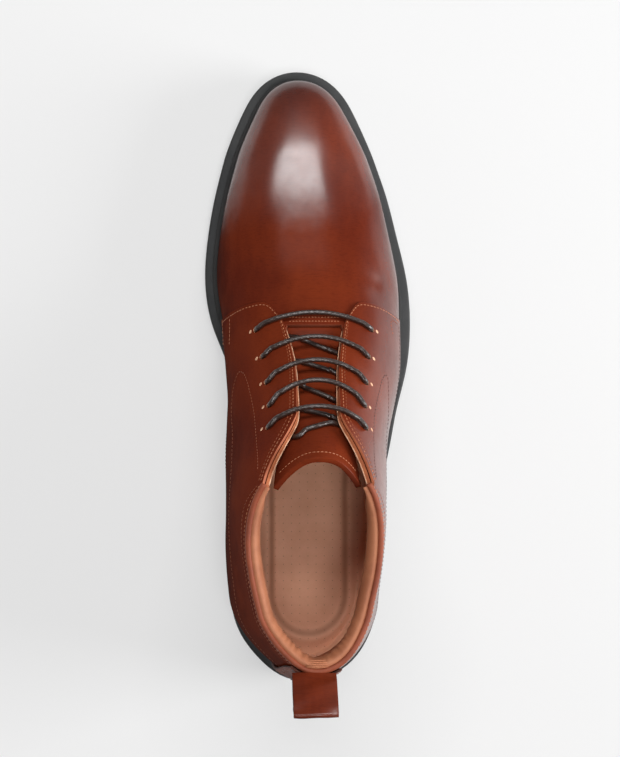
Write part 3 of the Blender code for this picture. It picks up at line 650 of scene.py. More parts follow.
def rawEdge(name, colour, deep, fore=None):
    # fore is the colour ahead of the opened part of the facings
    finish = Finish(name, specularIORLevel=0.25)
    fibre = finish.noise(0.00035, 4, 0.7)
    soil = finish.noise(0.004, 3, 0.6)
    worn = finish.band(fibre * 0.5 + soil * 0.5, 0.40, 0.66)
    shade = finish.mix(worn, fromScreen(*colour), fromScreen(*deep))
    if fore:
        _, y, _ = finish.axes()
        shade = finish.mix(finish.band(y + soil * 0.004, 0.108, 0.122), shade, fromScreen(*fore))
    finish.set(baseColor=shade, roughness=0.62 + fibre * 0.2)
    finish.bump(fibre, 0.00012, 0.6)
    return finish.material


def soleRubber(name, colour, light):
    finish = Finish(name, specularIORLevel=0.4)
    speckle = finish.noise(0.0005, 3, 0.7)
    cloud = finish.noise(0.02, 4, 0.6)
    dust = finish.band(cloud * 0.6 + speckle * 0.4, 0.44, 0.66)
    shade = finish.mix(dust * 0.5, fromScreen(*colour), fromScreen(*light))
    finish.set(baseColor=shade, roughness=0.50 + speckle * 0.2)
    finish.bump(speckle, 0.00012, 0.5)
    return finish.material


def footbedLeather(name):
    look = footbedLook
    finish = Finish(name, specularIORLevel=0.3)
    cloud = finish.noise(0.016, 4, 0.6)
    pore = finish.cells(0.0008)
    shade = finish.mix(finish.band(cloud, 0.30, 0.75) * 0.6, look["light"], look["deep"])
    # the UV's second value is the distance from the heel's sunk oval; the dark band there is painted
    # shadow where the oval rises to its ring
    _, depth, _ = finish.axes("UV")
    ring = finish.band(depth, 0.28, 0.50) * (1 - finish.band(depth, 0.50, 0.70))
    shade = finish.mix(ring * 0.45, shade, look["ring"])
    x, y, _ = finish.axes()
    across, along = [finish.sum("SINE", place * look["prickTurn"]) for place in (x, y)]
    prick = finish.band(finish.sum("ABSOLUTE", across * along), 0.975, 0.992) * 0.55
    shade = finish.mix(prick * 0.8, shade, look["prick"])
    finish.set(baseColor=shade, roughness=0.6 + pore * 0.15)
    finish.bump(pore * 0.6 + cloud * 0.5 - prick * 2.0, 0.00016, 0.5)
    return finish.material


def threadFinish(name, colour, deep):
    finish = Finish(name, specularIORLevel=0.4)
    twist = finish.noise(0.00022, 2, 0.6)
    shade = finish.mix(finish.band(twist, 0.35, 0.65), fromScreen(*deep), fromScreen(*colour))
    finish.set(baseColor=shade, roughness=0.45 + twist * 0.2)
    finish.bump(twist, 0.00008, 0.5)
    return finish.material


def laceCord(name):
    finish = Finish(name, specularIORLevel=0.6, coatWeight=0.25, coatRoughness=0.22)
    fibre = finish.noise(0.0003, 3, 0.6)
    shade = finish.mix(finish.band(fibre, 0.4, 0.7), fromScreen(34, 22, 18), fromScreen(58, 38, 30))
    finish.set(baseColor=shade, roughness=0.30 + fibre * 0.15)
    finish.bump(fibre, 0.00006, 0.4)
    return finish.material


finishes = {
    "vamp": waxedLeather("vampLeather", 0.46),
    "quarter": waxedLeather("quarterLeather", 0.52, 0.9),
    "strap": waxedLeather("strapLeather", 0.58, 0.3, 0.2),
    "tongue": waxedLeather("tongueLeather", 0.60, 0.0),
    "lining": liningLeather("liningLeather", (172, 110, 78), (140, 82, 56)),
    "roll": liningLeather("rollLeather", (136, 66, 40), (104, 46, 28)),
    "shellEdge": rawEdge("shellEdge", (176, 104, 66), (140, 72, 44), (120, 58, 36)),
    "edge": rawEdge("rawEdge", (226, 182, 150), (170, 108, 76)),
    # the turned edge has its own leather colour, made brighter as a painted highlight along the fold of
    # the quarters' edges
    "turned": liningLeather("turnedEdgePaintedHighlight", (176, 100, 66), (134, 66, 40)),
    "darkEdge": rawEdge("inkedEdge", (84, 44, 32), (44, 22, 17)),
    "rubber": soleRubber("soleRubber", (38, 39, 40), (64, 64, 64)),
    "welt": soleRubber("weltStrip", (28, 27, 27), (48, 46, 44)),
    "footbed": footbedLeather("footbedLeather"),
    "paleThread": threadFinish("paleThread", (196, 130, 92), (150, 84, 52)),
    "orangeThread": threadFinish("orangeThread", (158, 84, 46), (108, 50, 26)),
    "darkThread": threadFinish("darkThread", (64, 32, 24), (34, 17, 13)),
    "lace": laceCord("laceCord"),
}
print("finishes made:", len(finishes))

# Vamp and lining: one shell from the toe to the back, open at the throat, collar and underneath
shellLook = {
    "wall": 0.0022, "foreColumns": 90, "sideColumns": 44, "backColumns": 80, "rows": 40,
    "ridgeRows": 18, "throatRound": 0.03, "throatLead": 0.010,
}
overlay = {"gap": 0.0005, "quarter": 0.0013, "backstay": 0.0012}


def shellTop(side, at):
    lead = np.clip((at - throat) / shellLook["throatLead"], 0, 1)
    inset = -shellLook["throatRound"] * halfBall * (1 - smoothStep(lead))
    facing = upFacing(side, np.maximum(at, throat), inset)
    return np.where(at <= collarCorner, facing, upBelowCollar(side, np.maximum(at, collarCorner)))


def shellStations():
    look = shellLook
    fore = toeSpread(np.linspace(0, 1, look["foreColumns"] + 1), throat)
    middle = np.linspace(throat, collarCorner, look["sideColumns"] + 1)[1:]
    back = np.linspace(collarCorner, backStation, look["backColumns"] + 1)[1:]
    return np.concatenate([fore, middle, back])


def makeShell(holes):
    look = shellLook
    shape = newShape()
    stations = shellStations()
    index = np.arange(len(stations))
    for side in (-1, 1):
        tops = shellTop(side, stations)

        def place(u, v):
            at = np.interp(u * index[-1], index, stations)
            up = np.interp(u * index[-1], index, tops) * v
            return onWall(side, at, up), (at, up)

        addGrid(shape, len(stations) - 1, look["rows"], place)

    corner = {side: float(shellTop(side, np.array([throat]))[0]) for side in (-1, 1)}
    fore = stations[: look["foreColumns"] + 1]

    def placeRidge(u, v):
        at = np.interp(u * (len(fore) - 1), index[: len(fore)], fore)
        side = np.where(v < 0.5, -1.0, 1.0)
        share = 1 - np.abs(2 * v - 1)
        low = np.where(v < 0.5, corner[-1], corner[1])
        up = low + (1 - low) * share
        return onWall(side, at, up), (at, up)

    addGrid(shape, len(fore) - 1, 2 * look["ridgeRows"], placeRidge)
    mergeShape(shape)
    faceAway(shape)
    leathers = ("vamp", "lining", "shellEdge")
    piece = finishPiece("vampAndLining", shape, leathers, ("upper",))
    thicken(piece, look["wall"], inner=1, rim=2, edge=0.0003)
    cutBy(piece, holes)
    return settle(piece)


# Lace holes, cut through the quarters and the lining
holeLook = {"bore": 0.0034, "sides": 20, "depth": 0.012}
holeRows = (
    (0.4930, 0.590, 0.0275), (0.5445, 0.534, 0.0325), (0.5920, 0.498, 0.0355),
    (0.6340, 0.473, 0.0400), (0.6735, 0.482, 0.0325),
)


def makeHoleCutter():
    look = holeLook
    shape = newShape()
    for side in (-1, 1):
        for at, across, _ in holeRows:
            up = upAcross(side, at, across)
            spot = standOn(wallPoint(side, at, up), side, at, up)
            bmesh.ops.create_cone(
                shape, cap_ends=True, segments=look["sides"], depth=look["depth"],
                radius1=look["bore"] / 2, radius2=look["bore"] / 2, matrix=spot,
            )
    return addObject("holeCutter", shape, [finishes["edge"]])


# Quarters: the two back halves of the boot, with the rounded lace tabs
quarterLook = {"columns": 150, "rows": 60}


class EdgedPatch:
    # a patch of the wall between four edges, each a run of (station, share up)

    def __init__(self, side, low, high, front, back):
        self.side = side
        self.edges = [self.evenly(rows) for rows in (low, high, front, back)]

    def evenly(self, rows):
        rows = np.array(rows, float)
        run = runLength(wallPoint(self.side, rows[:, 0], rows[:, 1]))
        return run / run[-1], rows

    def along(self, edge, share):
        return readRun(share, *self.edges[edge])

    def pairs(self, u, v):
        u, v = filled(u, v)
        low, high, front, back = [self.along(i, s) for i, s in enumerate((u, u, v, v))]
        corners = [self.along(i, np.array(s)) for i, s in ((0, 0.0), (0, 1.0), (1, 0.0), (1, 1.0))]
        u, v = u[..., None], v[..., None]
        found = (1 - u) * front + u * back + (1 - v) * low + v * high
        found = found - (1 - u) * (1 - v) * corners[0] - u * (1 - v) * corners[1]
        return found - (1 - u) * v * corners[2] - u * v * corners[3]

    def inset(self, edge, share, distance):
        # pairs that lie a distance in from an edge: 0 low, 1 high, 2 front
        share = np.asarray(share, float)
        reach = 0.05
        near = ((share, 0), (share, 1), (0, share))[edge]
        far = ((share, reach), (share, 1 - reach), (reach, share))[edge]
        near, far = self.pairs(*near), self.pairs(*far)
        ends = [wallPoint(self.side, pair[..., 0], pair[..., 1]) for pair in (near, far)]
        share = distance / np.linalg.norm(ends[1] - ends[0], axis=-1)
        return near + (far - near) * share[..., None]


def quarterPatch(side):
    foot = [(row[0], row[2] if side > 0 else row[1]) for row in footRows]
    tab = smoothCurve(tabRows, 12)
    tab = [foot[0]] + [(at, float(upAcross(side, at, across))) for at, across in tab]
    top = smoothCurve(facingRows, 12)
    top = [(at, float(upAcross(side, at, across))) for at, across in top]
    end = footRows[-1][0]
    collar = np.linspace(collarCorner, end, 60)[1:]
    top += list(zip(collar, upBelowCollar(side, collar)))
    back = [(end, footRows[-1][1]), (end, top[-1][1])]
    return EdgedPatch(side, foot, top, tab, back)


patches = {side: quarterPatch(side) for side in (-1, 1)}


def makeQuarter(side, holes):
    patch = patches[side]
    shape = newShape()

    def place(u, v):
        u, v = denseEnds(u), denseEnds(v)
        found = patch.pairs(u, v)
        return onWall(side, found[:, 0], found[:, 1], overlay["gap"]), (found[:, 0], found[:, 1])

    addGrid(shape, quarterLook["columns"], quarterLook["rows"], place)
    mergeShape(shape)
    faceAway(shape)
    name = "Outer" if side > 0 else "Inner"
    stands = "quarter_lateral" if side > 0 else "quarter_medial"
    # the quarters' rims take the turned edge, whose bright colour is partly a painted highlight along the
    # folded edges
    leathers = ("quarter", "lining", "turned")
    piece = finishPiece("quarter" + name, shape, leathers, (stands,))
    thicken(piece, overlay["quarter"], rim=2, edge=0.0003, inward=False)
    cutBy(piece, holes)
    return settle(piece)


# Backstay: the strip over the seam at the back
backstayLook = {"half": 0.0160, "foot": 0.026, "end": 0.006, "columns": 30, "rows": 70}
backHalf = (backStation - 1) * backstayLook["half"]
backHalf /= float(sections.read("inner", backStation)) * halfBall * math.pi / 2


def makeBackstay():
    look = backstayLook
    shape = newShape()

    def place(u, v):
        turn = 2 * u - 1
        side = np.where(turn > 0, 1.0, -1.0)
        at = backStation - np.abs(turn) * backHalf
        top = upBelowCollar(side, at) - look["end"]
        up = look["foot"] + (top - look["foot"]) * denseEnds(v)
        out = 2 * overlay["gap"] + overlay["quarter"]
        return onWall(side, at, up, out), (at, up)

    addGrid(shape, look["columns"], look["rows"], place)
    faceAway(shape)
    leathers = ("strap", "lining", "darkEdge")
    piece = finishPiece("backStrip", shape, leathers, ("backstay",))
    thicken(piece, overlay["backstay"], rim=2, edge=0.0003, inward=False)
    return settle(piece)


# Tongue
tongueLook = {
    "seam": 0.0090, "thickness": 0.0026, "laceRadius": 0.0012, "flare": 2.3, "columns": 90, "rows": 48,
}
tongueRows = (
    (0.448, 0.448, 0.36, 0.00, 0.000), (0.478, 0.478, 0.38, 0.05, 0.000),
    (0.510, 0.510, 0.38, 0.90, 0.000), (0.560, 0.562, 0.38, 1.00, 0.000),
    (0.620, 0.628, 0.39, 1.00, 0.000), (0.660, 0.688, 0.44, 1.00, 0.011),
    (0.686, 0.730, 0.510, 1.00, 0.034), (0.706, 0.768, 0.545, 1.00, 0.067),
)
tongueLine = SplineTable(("middle", "side", "half", "sink", "lift"), tongueRows)


def tonguePoint(middle, share, out=0.0):
    middle, share, out = filled(middle, share, out)
    half = tongueLine.read("half", middle)
    at = middle + (tongueLine.read("side", middle) - middle) * np.abs(share) ** tongueLook["flare"]
    side = np.where(share > 0, 1.0, -1.0)
    up = upAcross(side, at, np.abs(share) * half)
    near = shellLook["wall"] + clearance
    deep = shellLook["wall"] + 2 * tongueLook["laceRadius"] + 3 * clearance
    sink = np.clip(tongueLine.read("sink", middle), 0, 1)
    point = onWall(side, at, up, out - near - (deep - near) * sink)
    lift = np.maximum(0, tongueLine.read("lift", middle)) * shaftHeight
    point[..., 2] += lift * (1 - share**2)
    return point


def makeTongue():
    shape = newShape()
    start, end = tongueRows[0][0], tongueRows[-1][0]

    def place(u, v):
        middle = start + (end - start) * denseEnds(u)
        share = 2 * denseEnds(v) - 1
        return tonguePoint(middle, share), (middle, share)

    addGrid(shape, tongueLook["columns"], tongueLook["rows"], place)
    faceAway(shape, (0.0, 0.13, 0.0))
    leathers = ("tongue", "lining", "tongue")
    piece = finishPiece("tongueFlap", shape, leathers, ("tongue",))
    thicken(piece, tongueLook["thickness"], inner=1, rim=2, edge=0.0005)
    return settle(piece)


# Tubes: the lace, the collar's roll and other round runs
def runFrames(points):
    # two directions across each point, which don't turn about the run
    tangent = np.gradient(points, axis=0)
    tangent /= np.linalg.norm(tangent, axis=1, keepdims=True)
    normal = [np.cross(tangent[0], (0.0, 0.0, 1.0))]
    normal[0] /= np.linalg.norm(normal[0])
    for way in tangent[1:]:
        turned = normal[-1] - way * np.dot(normal[-1], way)
        normal.append(turned / np.linalg.norm(turned))
    normal = np.array(normal)
    return normal, np.cross(tangent, normal)


def addTube(shape, points, radius, sides=16):
    points = np.asarray(points, float)
    normal, other = runFrames(points)
    run = runLength(points)

    def place(u, v):
        i = np.rint(u * (len(points) - 1)).astype(int)
        angle = v * 2 * math.pi
        reach = radius(run[i], angle) if callable(radius) else np.full(len(u), radius)
        ring = normal[i] * np.cos(angle)[:, None] + other[i] * np.sin(angle)[:, None]
        return points[i] + ring * reach[:, None], (run[i], angle)

    closeEnds(shape, addGrid(shape, len(points) - 1, sides, place))


def evenRun(points, step):
    points = np.asarray(points, float)
    run = runLength(points)
    count = max(2, int(round(run[-1] / step)) + 1)
    return readRun(np.linspace(0, run[-1], count), run, points)


# Lace: one braided cord through all ten holes, bar by bar
laceLook = {
    "radius": tongueLook["laceRadius"], "holeGap": 0.0042, "under": 0.0042, "crown": 0.0012,
    "step": 0.00022, "sides": 24, "strands": 6, "pitch": 0.0027, "braid": 0.00007,
    "reach": 0.52, "edgeLead": 0.8,
    "holeOuts": (-0.0034, -0.0005, 0.0014), "rimLead": 0.036, "rimShift": 0.0006, "rimSink": 0.0002,
}
# Stations where each crossing starts and ends, and the run of the tail: station, share of the tongue
crossingRows = ((0.500, 0.5236), (0.541, 0.5604), (0.5855, 0.611), (0.627, 0.6417))
tailRows = (
    (0.667, -0.60), (0.663, -0.38), (0.659, -0.15), (0.655, 0.08), (0.651, 0.30), (0.650, 0.52),
)


def barPoints(row):
    look = laceLook
    at, across, bow = holeRows[row]
    out = overlay["quarter"] + overlay["gap"] + clearance + look["radius"]
    end = across - look["holeGap"] / halfBall
    edge = float(np.interp(at - look["edgeLead"] * bow, *smoothCurve(facingRows).T))
    sides = {}
    for side in (-1, 1):
        place = np.linspace(end, edge, 5)
        here = at - bow * (1 - (place / across) ** 2)
        over = onWall(side, here, upAcross(side, here, place), out)
        up = upAcross(side, at, across)
        hole = [onWall(side, at, up, step) for step in look["holeOuts"]]
        rim = at - look["rimShift"]
        rise = onWall(side, rim, upAcross(side, rim, across - look["rimLead"]), out - look["rimSink"])
        sides[side] = np.array(hole + [rise] + list(over))
    left, right = sides[-1][-1], sides[1][-1]
    share = np.array([0.25, 0.5, 0.75])[:, None]
    crown = 4 * share * (1 - share)
    forward = bow * foreLength * (edge / across) ** 2
    middle = left + (right - left) * share + crown * np.array([0, forward, look["crown"]])
    return np.concatenate([sides[-1], middle, sides[1][::-1]])


def holeUnder(side, row):
    at, across, _ = holeRows[row]
    return onWall(side, at, upAcross(side, at, across), -laceLook["under"])


def crossPoints(row):
    start, end = crossingRows[row]
    share = np.linspace(0, 1, 9)
    out = clearance + laceLook["radius"]
    return tonguePoint(start + (end - start) * share, (2 * share - 1) * laceLook["reach"], out)


def lacePath():
    points = []
    for row in range(len(holeRows)):
        points.extend(barPoints(row)[::-1])
        if row < len(crossingRows):
            points.append(holeUnder(-1, row))
            points.extend(crossPoints(row))
            points.append(holeUnder(1, row + 1))
    points.append(holeUnder(-1, row))
    for middle, share in tailRows:
        points.append(tonguePoint(middle, share, clearance + laceLook["radius"]))
    points.append(holeUnder(1, row))
    return evenRun(smoothCurve(np.array(points), 10), laceLook["step"])


def braidRadius(run, angle):
    look = laceLook
    wave = 2 * math.pi * run / look["pitch"]
    one = np.cos(look["strands"] * angle + wave)
    two = np.cos(look["strands"] * angle - wave)
    return look["radius"] - look["braid"] + look["braid"] * np.maximum(one, two)


def makeLace():
    shape = newShape()
    addTube(shape, lacePath(), braidRadius, laceLook["sides"])
    bmesh.ops.recalc_face_normals(shape, faces=shape.faces)
    nodes = ["lace_bar_%d" % i for i in range(1, 6)] + ["lace_cross_%d" % i for i in range(1, 5)]
    return finishPiece("laceCord", shape, ("lace",), nodes)


# Stitches: small spindles along rows, one piece for each thread
stitchLook = {
    "pitch": 0.0020, "length": 0.0015, "radius": 0.00023, "sink": 0.00004,
    "tabInset": 0.0016, "facingInsets": (0.0020, 0.0038), "footInset": 0.0020,
    "collarDepths": (0.0030, 0.0095), "backInsets": (0.0018, 0.0036), "backTop": 0.012,
    "throatLeads": (0.0065, 0.0140), "throatHalf": 0.27,
    "throatStitch": {"pitch": 0.0015, "length": 0.0012},
    "tongueStitch": {"pitch": 0.0019, "length": 0.0014, "radius": 0.00024},
    "tackStitch": {"pitch": 0.02, "length": 0.0110, "radius": 0.00038}, "tackHalf": 0.055,
    "lineRadius": 0.00034, "lineOut": -0.0019,
}
tackRows = ((-0.0012, 0.0016), (-0.0022, 0.0017), (-0.0032, 0.0013), (-0.0042, 0.0002))  # out, rise
quarterOut = overlay["gap"] + overlay["quarter"]
backOut = 2 * overlay["gap"] + overlay["quarter"] + overlay["backstay"]
seamRows = (  # thread, side, and a run of (station, share up) on the quarter's outer face
    ("dark", 1, (
        (0.762, 0.622), (0.721, 0.621), (0.676, 0.629), (0.651, 0.633), (0.621, 0.620), (0.596, 0.607),
        (0.581, 0.588), (0.579, 0.555), (0.599, 0.524), (0.637, 0.478), (0.677, 0.433), (0.724, 0.400),
        (0.790, 0.372), (0.870, 0.355), (0.960, 0.350), (1.060, 0.345), (1.200, 0.345),
    )),
    ("orange", -1, (
        (0.748, 0.648), (0.721, 0.644), (0.676, 0.625), (0.643, 0.611), (0.612, 0.594), (0.588, 0.577),
        (0.574, 0.552), (0.573, 0.510), (0.588, 0.465), (0.612, 0.414), (0.644, 0.373), (0.678, 0.371),
        (0.726, 0.361), (0.800, 0.352), (0.880, 0.348), (0.960, 0.345), (1.060, 0.345), (1.200, 0.345),
    )),
    ("orange", 1, ((0.479, 0.444), (0.474, 0.496), (0.478, 0.531), (0.501, 0.511))),
    ("pale", -1, ((0.467, 0.361), (0.492, 0.336), (0.518, 0.310))),
    ("pale", -1, ((0.468, 0.468), (0.495, 0.448), (0.519, 0.429))),
)


def layStitches(shape, points, normals, **sizes):
    look = {**stitchLook, **sizes}
    run = runLength(points)
    count = max(1, int(round(run[-1] / look["pitch"])))
    middles = (np.arange(count) + 0.5) * run[-1] / count
    spots = readRun(middles, run, points)
    ways = readRun(middles + 2e-4, run, points) - readRun(middles - 2e-4, run, points)
    for spot, way, rise in zip(spots, ways, readRun(middles, run, normals)):
        way = Vector(way).normalized()
        rise = Vector(rise)
        rise = (rise - way * rise.dot(way)).normalized()
        across = rise.cross(way)
        axes = (across * look["radius"], rise * look["radius"], way * look["length"] / 2)
        spot = Matrix.Translation(Vector(spot)) @ Matrix(axes).transposed().to_4x4()
        bmesh.ops.create_uvsphere(shape, u_segments=6, v_segments=4, radius=1, matrix=spot)


def stitchPairs(shape, side, pairs, out, **sizes):
    at, up = np.asarray(pairs, float).T
    layStitches(shape, onWall(side, at, up, out - stitchLook["sink"]), wallNormal(side, at, up), **sizes)


def sewQuarter(shapes, side):
    look, patch = stitchLook, patches[side]
    pairs = patch.inset(2, np.linspace(0.02, 0.97, 60), look["tabInset"])
    stitchPairs(shapes["pale"], side, pairs, quarterOut)
    run, top = patch.edges[1]
    corner = float(np.interp(collarCorner, top[:, 0], run))
    for thread, inset in zip(("pale", "orange"), look["facingInsets"]):
        pairs = patch.inset(1, np.linspace(0.012, corner - 0.004, 90), inset)
        stitchPairs(shapes[thread], side, pairs, quarterOut)
    pairs = patch.inset(0, np.linspace(0.02, 0.46, 90), look["footInset"])
    stitchPairs(shapes["dark"], side, pairs, quarterOut)
    at = np.linspace(collarCorner + 0.004, backStation - backHalf - 0.002, 120)
    for thread, depth in zip(("pale", "orange"), look["collarDepths"]):
        up = upBelowCollar(side, at, depth * smoothStep((at - 0.74) / 0.09))
        stitchPairs(shapes[thread], side, np.stack([at, up], -1), quarterOut)


def sewBackStrip(shape, side):
    for inset in stitchLook["backInsets"]:
        at = backStation - backHalf * (1 - inset / backstayLook["half"])
        up = np.linspace(0.05, float(upBelowCollar(side, at)) - stitchLook["backTop"], 60)
        stitchPairs(shape, side, np.stack([0 * up + at, up], -1), backOut)


def sewThroat(shape, side):
    across = np.linspace(0.0, stitchLook["throatHalf"], 24)
    for lead in stitchLook["throatLeads"]:
        at = throat - lead
        pairs = np.stack([0 * across + at, upAcross(side, at, across)], -1)
        stitchPairs(shape, side, pairs, 0.0, **stitchLook["throatStitch"])


def sewTongue(shape):
    share = np.linspace(-0.90, 0.90, 60)
    middle = tongueRows[-1][0] - tongueLook["seam"] - 0 * share
    points = tonguePoint(middle, share)
    normals = (tonguePoint(middle, share, 0.001) - points) / 0.001
    layStitches(shape, points, normals, **stitchLook["tongueStitch"])


def sewBarTack(shape):
    # long threads over the collar's edge at the centre of the back
    side, at = roundBack(np.linspace(-1, 1, 9) * stitchLook["tackHalf"])
    for out, rise in tackRows:
        points = onWall(side, at, upBelowCollar(side, at, -rise), out)
        layStitches(shape, points, np.tile((0.0, 0.0, 1.0), (len(points), 1)), **stitchLook["tackStitch"])


def makeStitches():
    shapes = {name: newShape() for name in ("pale", "orange", "dark")}
    for side in (-1, 1):
        sewQuarter(shapes, side)
        sewBackStrip(shapes["orange"], side)
        sewThroat(shapes["pale"], side)
    for thread, side, rows in seamRows:
        stitchPairs(shapes[thread], side, smoothCurve(rows, 8), quarterOut)
    sewTongue(shapes["pale"])
    sewBarTack(shapes["pale"])
    for name, shape in shapes.items():
        finishPiece(name + "Stitches", shape, (name + "Thread",))


def makeFacingLine():
    # a thin pale line along the inner edge of the opening
    shape = newShape()
    for side in (-1, 1):
        at = np.linspace(throat + 0.006, collarCorner - 0.002, 120)
        points = onWall(side, at, upFacing(side, at), stitchLook["lineOut"])
        addTube(shape, evenRun(points, 0.0008), stitchLook["lineRadius"], 8)
    bmesh.ops.recalc_face_normals(shape, faces=shape.faces)
    return finishPiece("facingLine", shape, ("edge",))


# Raw leather that shows just outside each punched hole
spotLook = {"away": 0.0027, "back": 0.004, "sink": 0.00008, "size": (0.0011, 0.0008, 0.00022)}


def makeRawSpots():
    shape = newShape()
    for side in (-1, 1):
        for at, across, _ in holeRows:
            up = upAcross(side, at, across + spotLook["away"] / halfBall)
            spot = onWall(side, at + spotLook["back"], up, quarterOut - spotLook["sink"])
            spot = standOn(spot, side, at, up) @ Matrix.Diagonal((*spotLook["size"], 1))
            bmesh.ops.create_uvsphere(shape, u_segments=12, v_segments=6, radius=1, matrix=spot)
    return finishPiece("rawSpots", shape, ("edge",))


# Collar: a rolled leather edge, and a soft padded band that laps over the lining's edge
rollLook = {"radius": 0.00135, "out": 0.0007, "rise": 0.0001, "step": 0.0010}
padLook = {"columns": 300, "rows": 40, "gathers": 38, "gather": 0.00042, "fill": 0.7}
padRows = (  # how far out of the wall, and how far above the collar line
    (-0.0002, 0.0004), (-0.0012, 0.0013), (-0.0028, 0.0012), (-0.0048, -0.0012), (-0.0062, -0.0055),
    (-0.0062, -0.0110), (-0.0050, -0.0165), (-0.0032, -0.0215), (-0.0020, -0.0240), (-0.0018, -0.0160),
    (-0.0018, -0.0070), (-0.0016, -0.0006), (-0.0002, 0.0004),
)


def makeCollarRoll():
    shape = newShape()
    side, at = roundBack(np.linspace(-1, 1, 260))
    points = onWall(side, at, upBelowCollar(side, at, -rollLook["rise"]), rollLook["out"])
    addTube(shape, evenRun(points, rollLook["step"]), rollLook["radius"], 16)
    bmesh.ops.recalc_face_normals(shape, faces=shape.faces)
    return finishPiece("collarRoll", shape, ("roll",))


def makeCollarPad():
    look = padLook
    shape = newShape()
    profile = smoothCurve(padRows, 10)
    steps = np.linspace(0, 1, len(profile))

    def place(u, v):
        share = (2 * u - 1) * 0.995
        side, at = roundBack(share)
        out, rise = readRun(v, steps, profile).T
        ends = smoothStep((1 - np.abs(share)) / 0.09) * 0.75 + 0.25
        face = np.clip(-out / 0.004, 0, 1)
        fold = np.cos(share * look["gathers"] * math.pi + 1.3 * np.sin(share * 23))
        fold = fold * bump(share, 0.42) * smoothStep((np.abs(share) - 0.05) / 0.05)
        fold = fold * face * bump(rise + 0.005, 0.008)
        wall = shellLook["wall"]
        out = (out + wall) * np.where(out < -wall, ends, 1) - wall
        rise = np.where(rise < 0, rise * (0.55 + 0.45 * ends), rise)
        up = upBelowCollar(side, at, -rise)
        return onWall(side, at, up, out - look["gather"] * fold), (share, v)

    closeEnds(shape, addGrid(shape, look["columns"], look["rows"], place))
    bmesh.ops.recalc_face_normals(shape, faces=shape.faces)
    piece = finishPiece("collarPad", shape, ("lining",))
    return piece


# Pull loop at the back of the collar
loopLook = {
    "width": 0.0200, "strap": 0.0013, "drop": 0.0150, "reach": 0.0138, "rise": 0.0170,
    "belly": 0.0014, "ripple": 0.00038, "fold": 0.0014, "lap": 0.0030, "seat": 0.0014,
}


def backLine(z):
    # how far back the strip's outer face lies at a height
    points = onWall(1.0, backStation, np.linspace(bulgeShare, 1, 200), backOut)
    return float(np.interp(z, points[:, 2], points[:, 1]))


def loopPath():
    look = loopLook
    edge = wallPoint(1.0, backStation, upBelowCollar(1.0, backStation))
    top = edge[2]
    tip = np.array([backLine(top) - look["reach"], top + look["rise"]])
    leg = [np.array([backLine(z) - clearance, z]) for z in np.linspace(top - look["drop"], top, 6)]
    root = np.array([leg[-1][0] + look["lap"], top + look["seat"]])
    lean = (tip - leg[-1]) / np.linalg.norm(tip - leg[-1])
    across = np.array([lean[1], -lean[0]]) * look["fold"]

    def bowed(start, end, bow):
        way = (end - start) / np.linalg.norm(end - start)
        share = np.linspace(0, 1, 9)[:, None]
        swell = np.array([way[1], -way[0]]) * 4 * bow * share * (1 - share)
        return list(start + (end - start) * share + swell)

    path = bowed(root, tip + across, look["belly"])
    for angle in np.linspace(0, math.pi, 9)[1:-1]:
        path.append(tip + across * math.cos(angle) + lean * look["fold"] * math.sin(angle))
    path += bowed(leg[-1], tip - across, -look["belly"])[:0:-1] + leg[::-1]
    return np.array(path), edge[0] - last["heelLean"]


def makePullLoop():
    path, middle = loopPath()
    path = evenRun(np.column_stack([np.zeros(len(path)), path]), 0.0006)[:, 1:]
    ways = np.gradient(path, axis=0)
    ways = np.column_stack([ways[:, 1], -ways[:, 0]]) / np.linalg.norm(ways, axis=1, keepdims=True)
    shape = newShape()

    def place(u, v):
        i = np.rint(u * (len(path) - 1)).astype(int)
        x = middle + (v - 0.5) * loopLook["width"]
        ripple = np.sin(v * 9 + 2.6 * np.sin(u * 23)) * bump(u - 0.5, 0.10) + 0.6 * np.sin(v * 5 + u * 31)
        ripple = loopLook["ripple"] * ripple * smoothStep((0.72 - u) / 0.1)
        return np.column_stack([x, path[i] + ways[i] * ripple[:, None]]), (u, v)

    addGrid(shape, len(path) - 1, 16, place)
    bmesh.ops.recalc_face_normals(shape, faces=shape.faces)
    outer = max(shape.faces, key=lambda face: -face.calc_center_median().y)
    if outer.normal.y > 0:
        bmesh.ops.reverse_faces(shape, faces=shape.faces)
    leathers = ("strap", "lining", "darkEdge")
    piece = finishPiece("pullTab", shape, leathers, ("pull_loop",))
    thicken(piece, loopLook["strap"], rim=2, edge=0.00025)
    return settle(piece)


# Sole: rubber outsole with a side groove and treads, a heel block, and the welt
treadLook = {
    "pitch": 0.0110, "width": 0.0032, "depth": 0.0016, "rim": 0.0100, "fore": 9,
    "foreStart": 0.1380, "heel": 4, "heelStart": -0.0165,
}
soleGrid = {"round": 240, "up": 50, "heel": 60, "heelUp": 20, "weltUp": 24, "across": 10}


def aroundFoot(u):
    # 0 to 1 from the toe round the outer side, the back and the inner side to the toe
    turn = np.where(u < 0.5, 2 * u, 2 - 2 * u)
    return np.where(u < 0.5, 1.0, -1.0), toeSpread(turn, backStation)


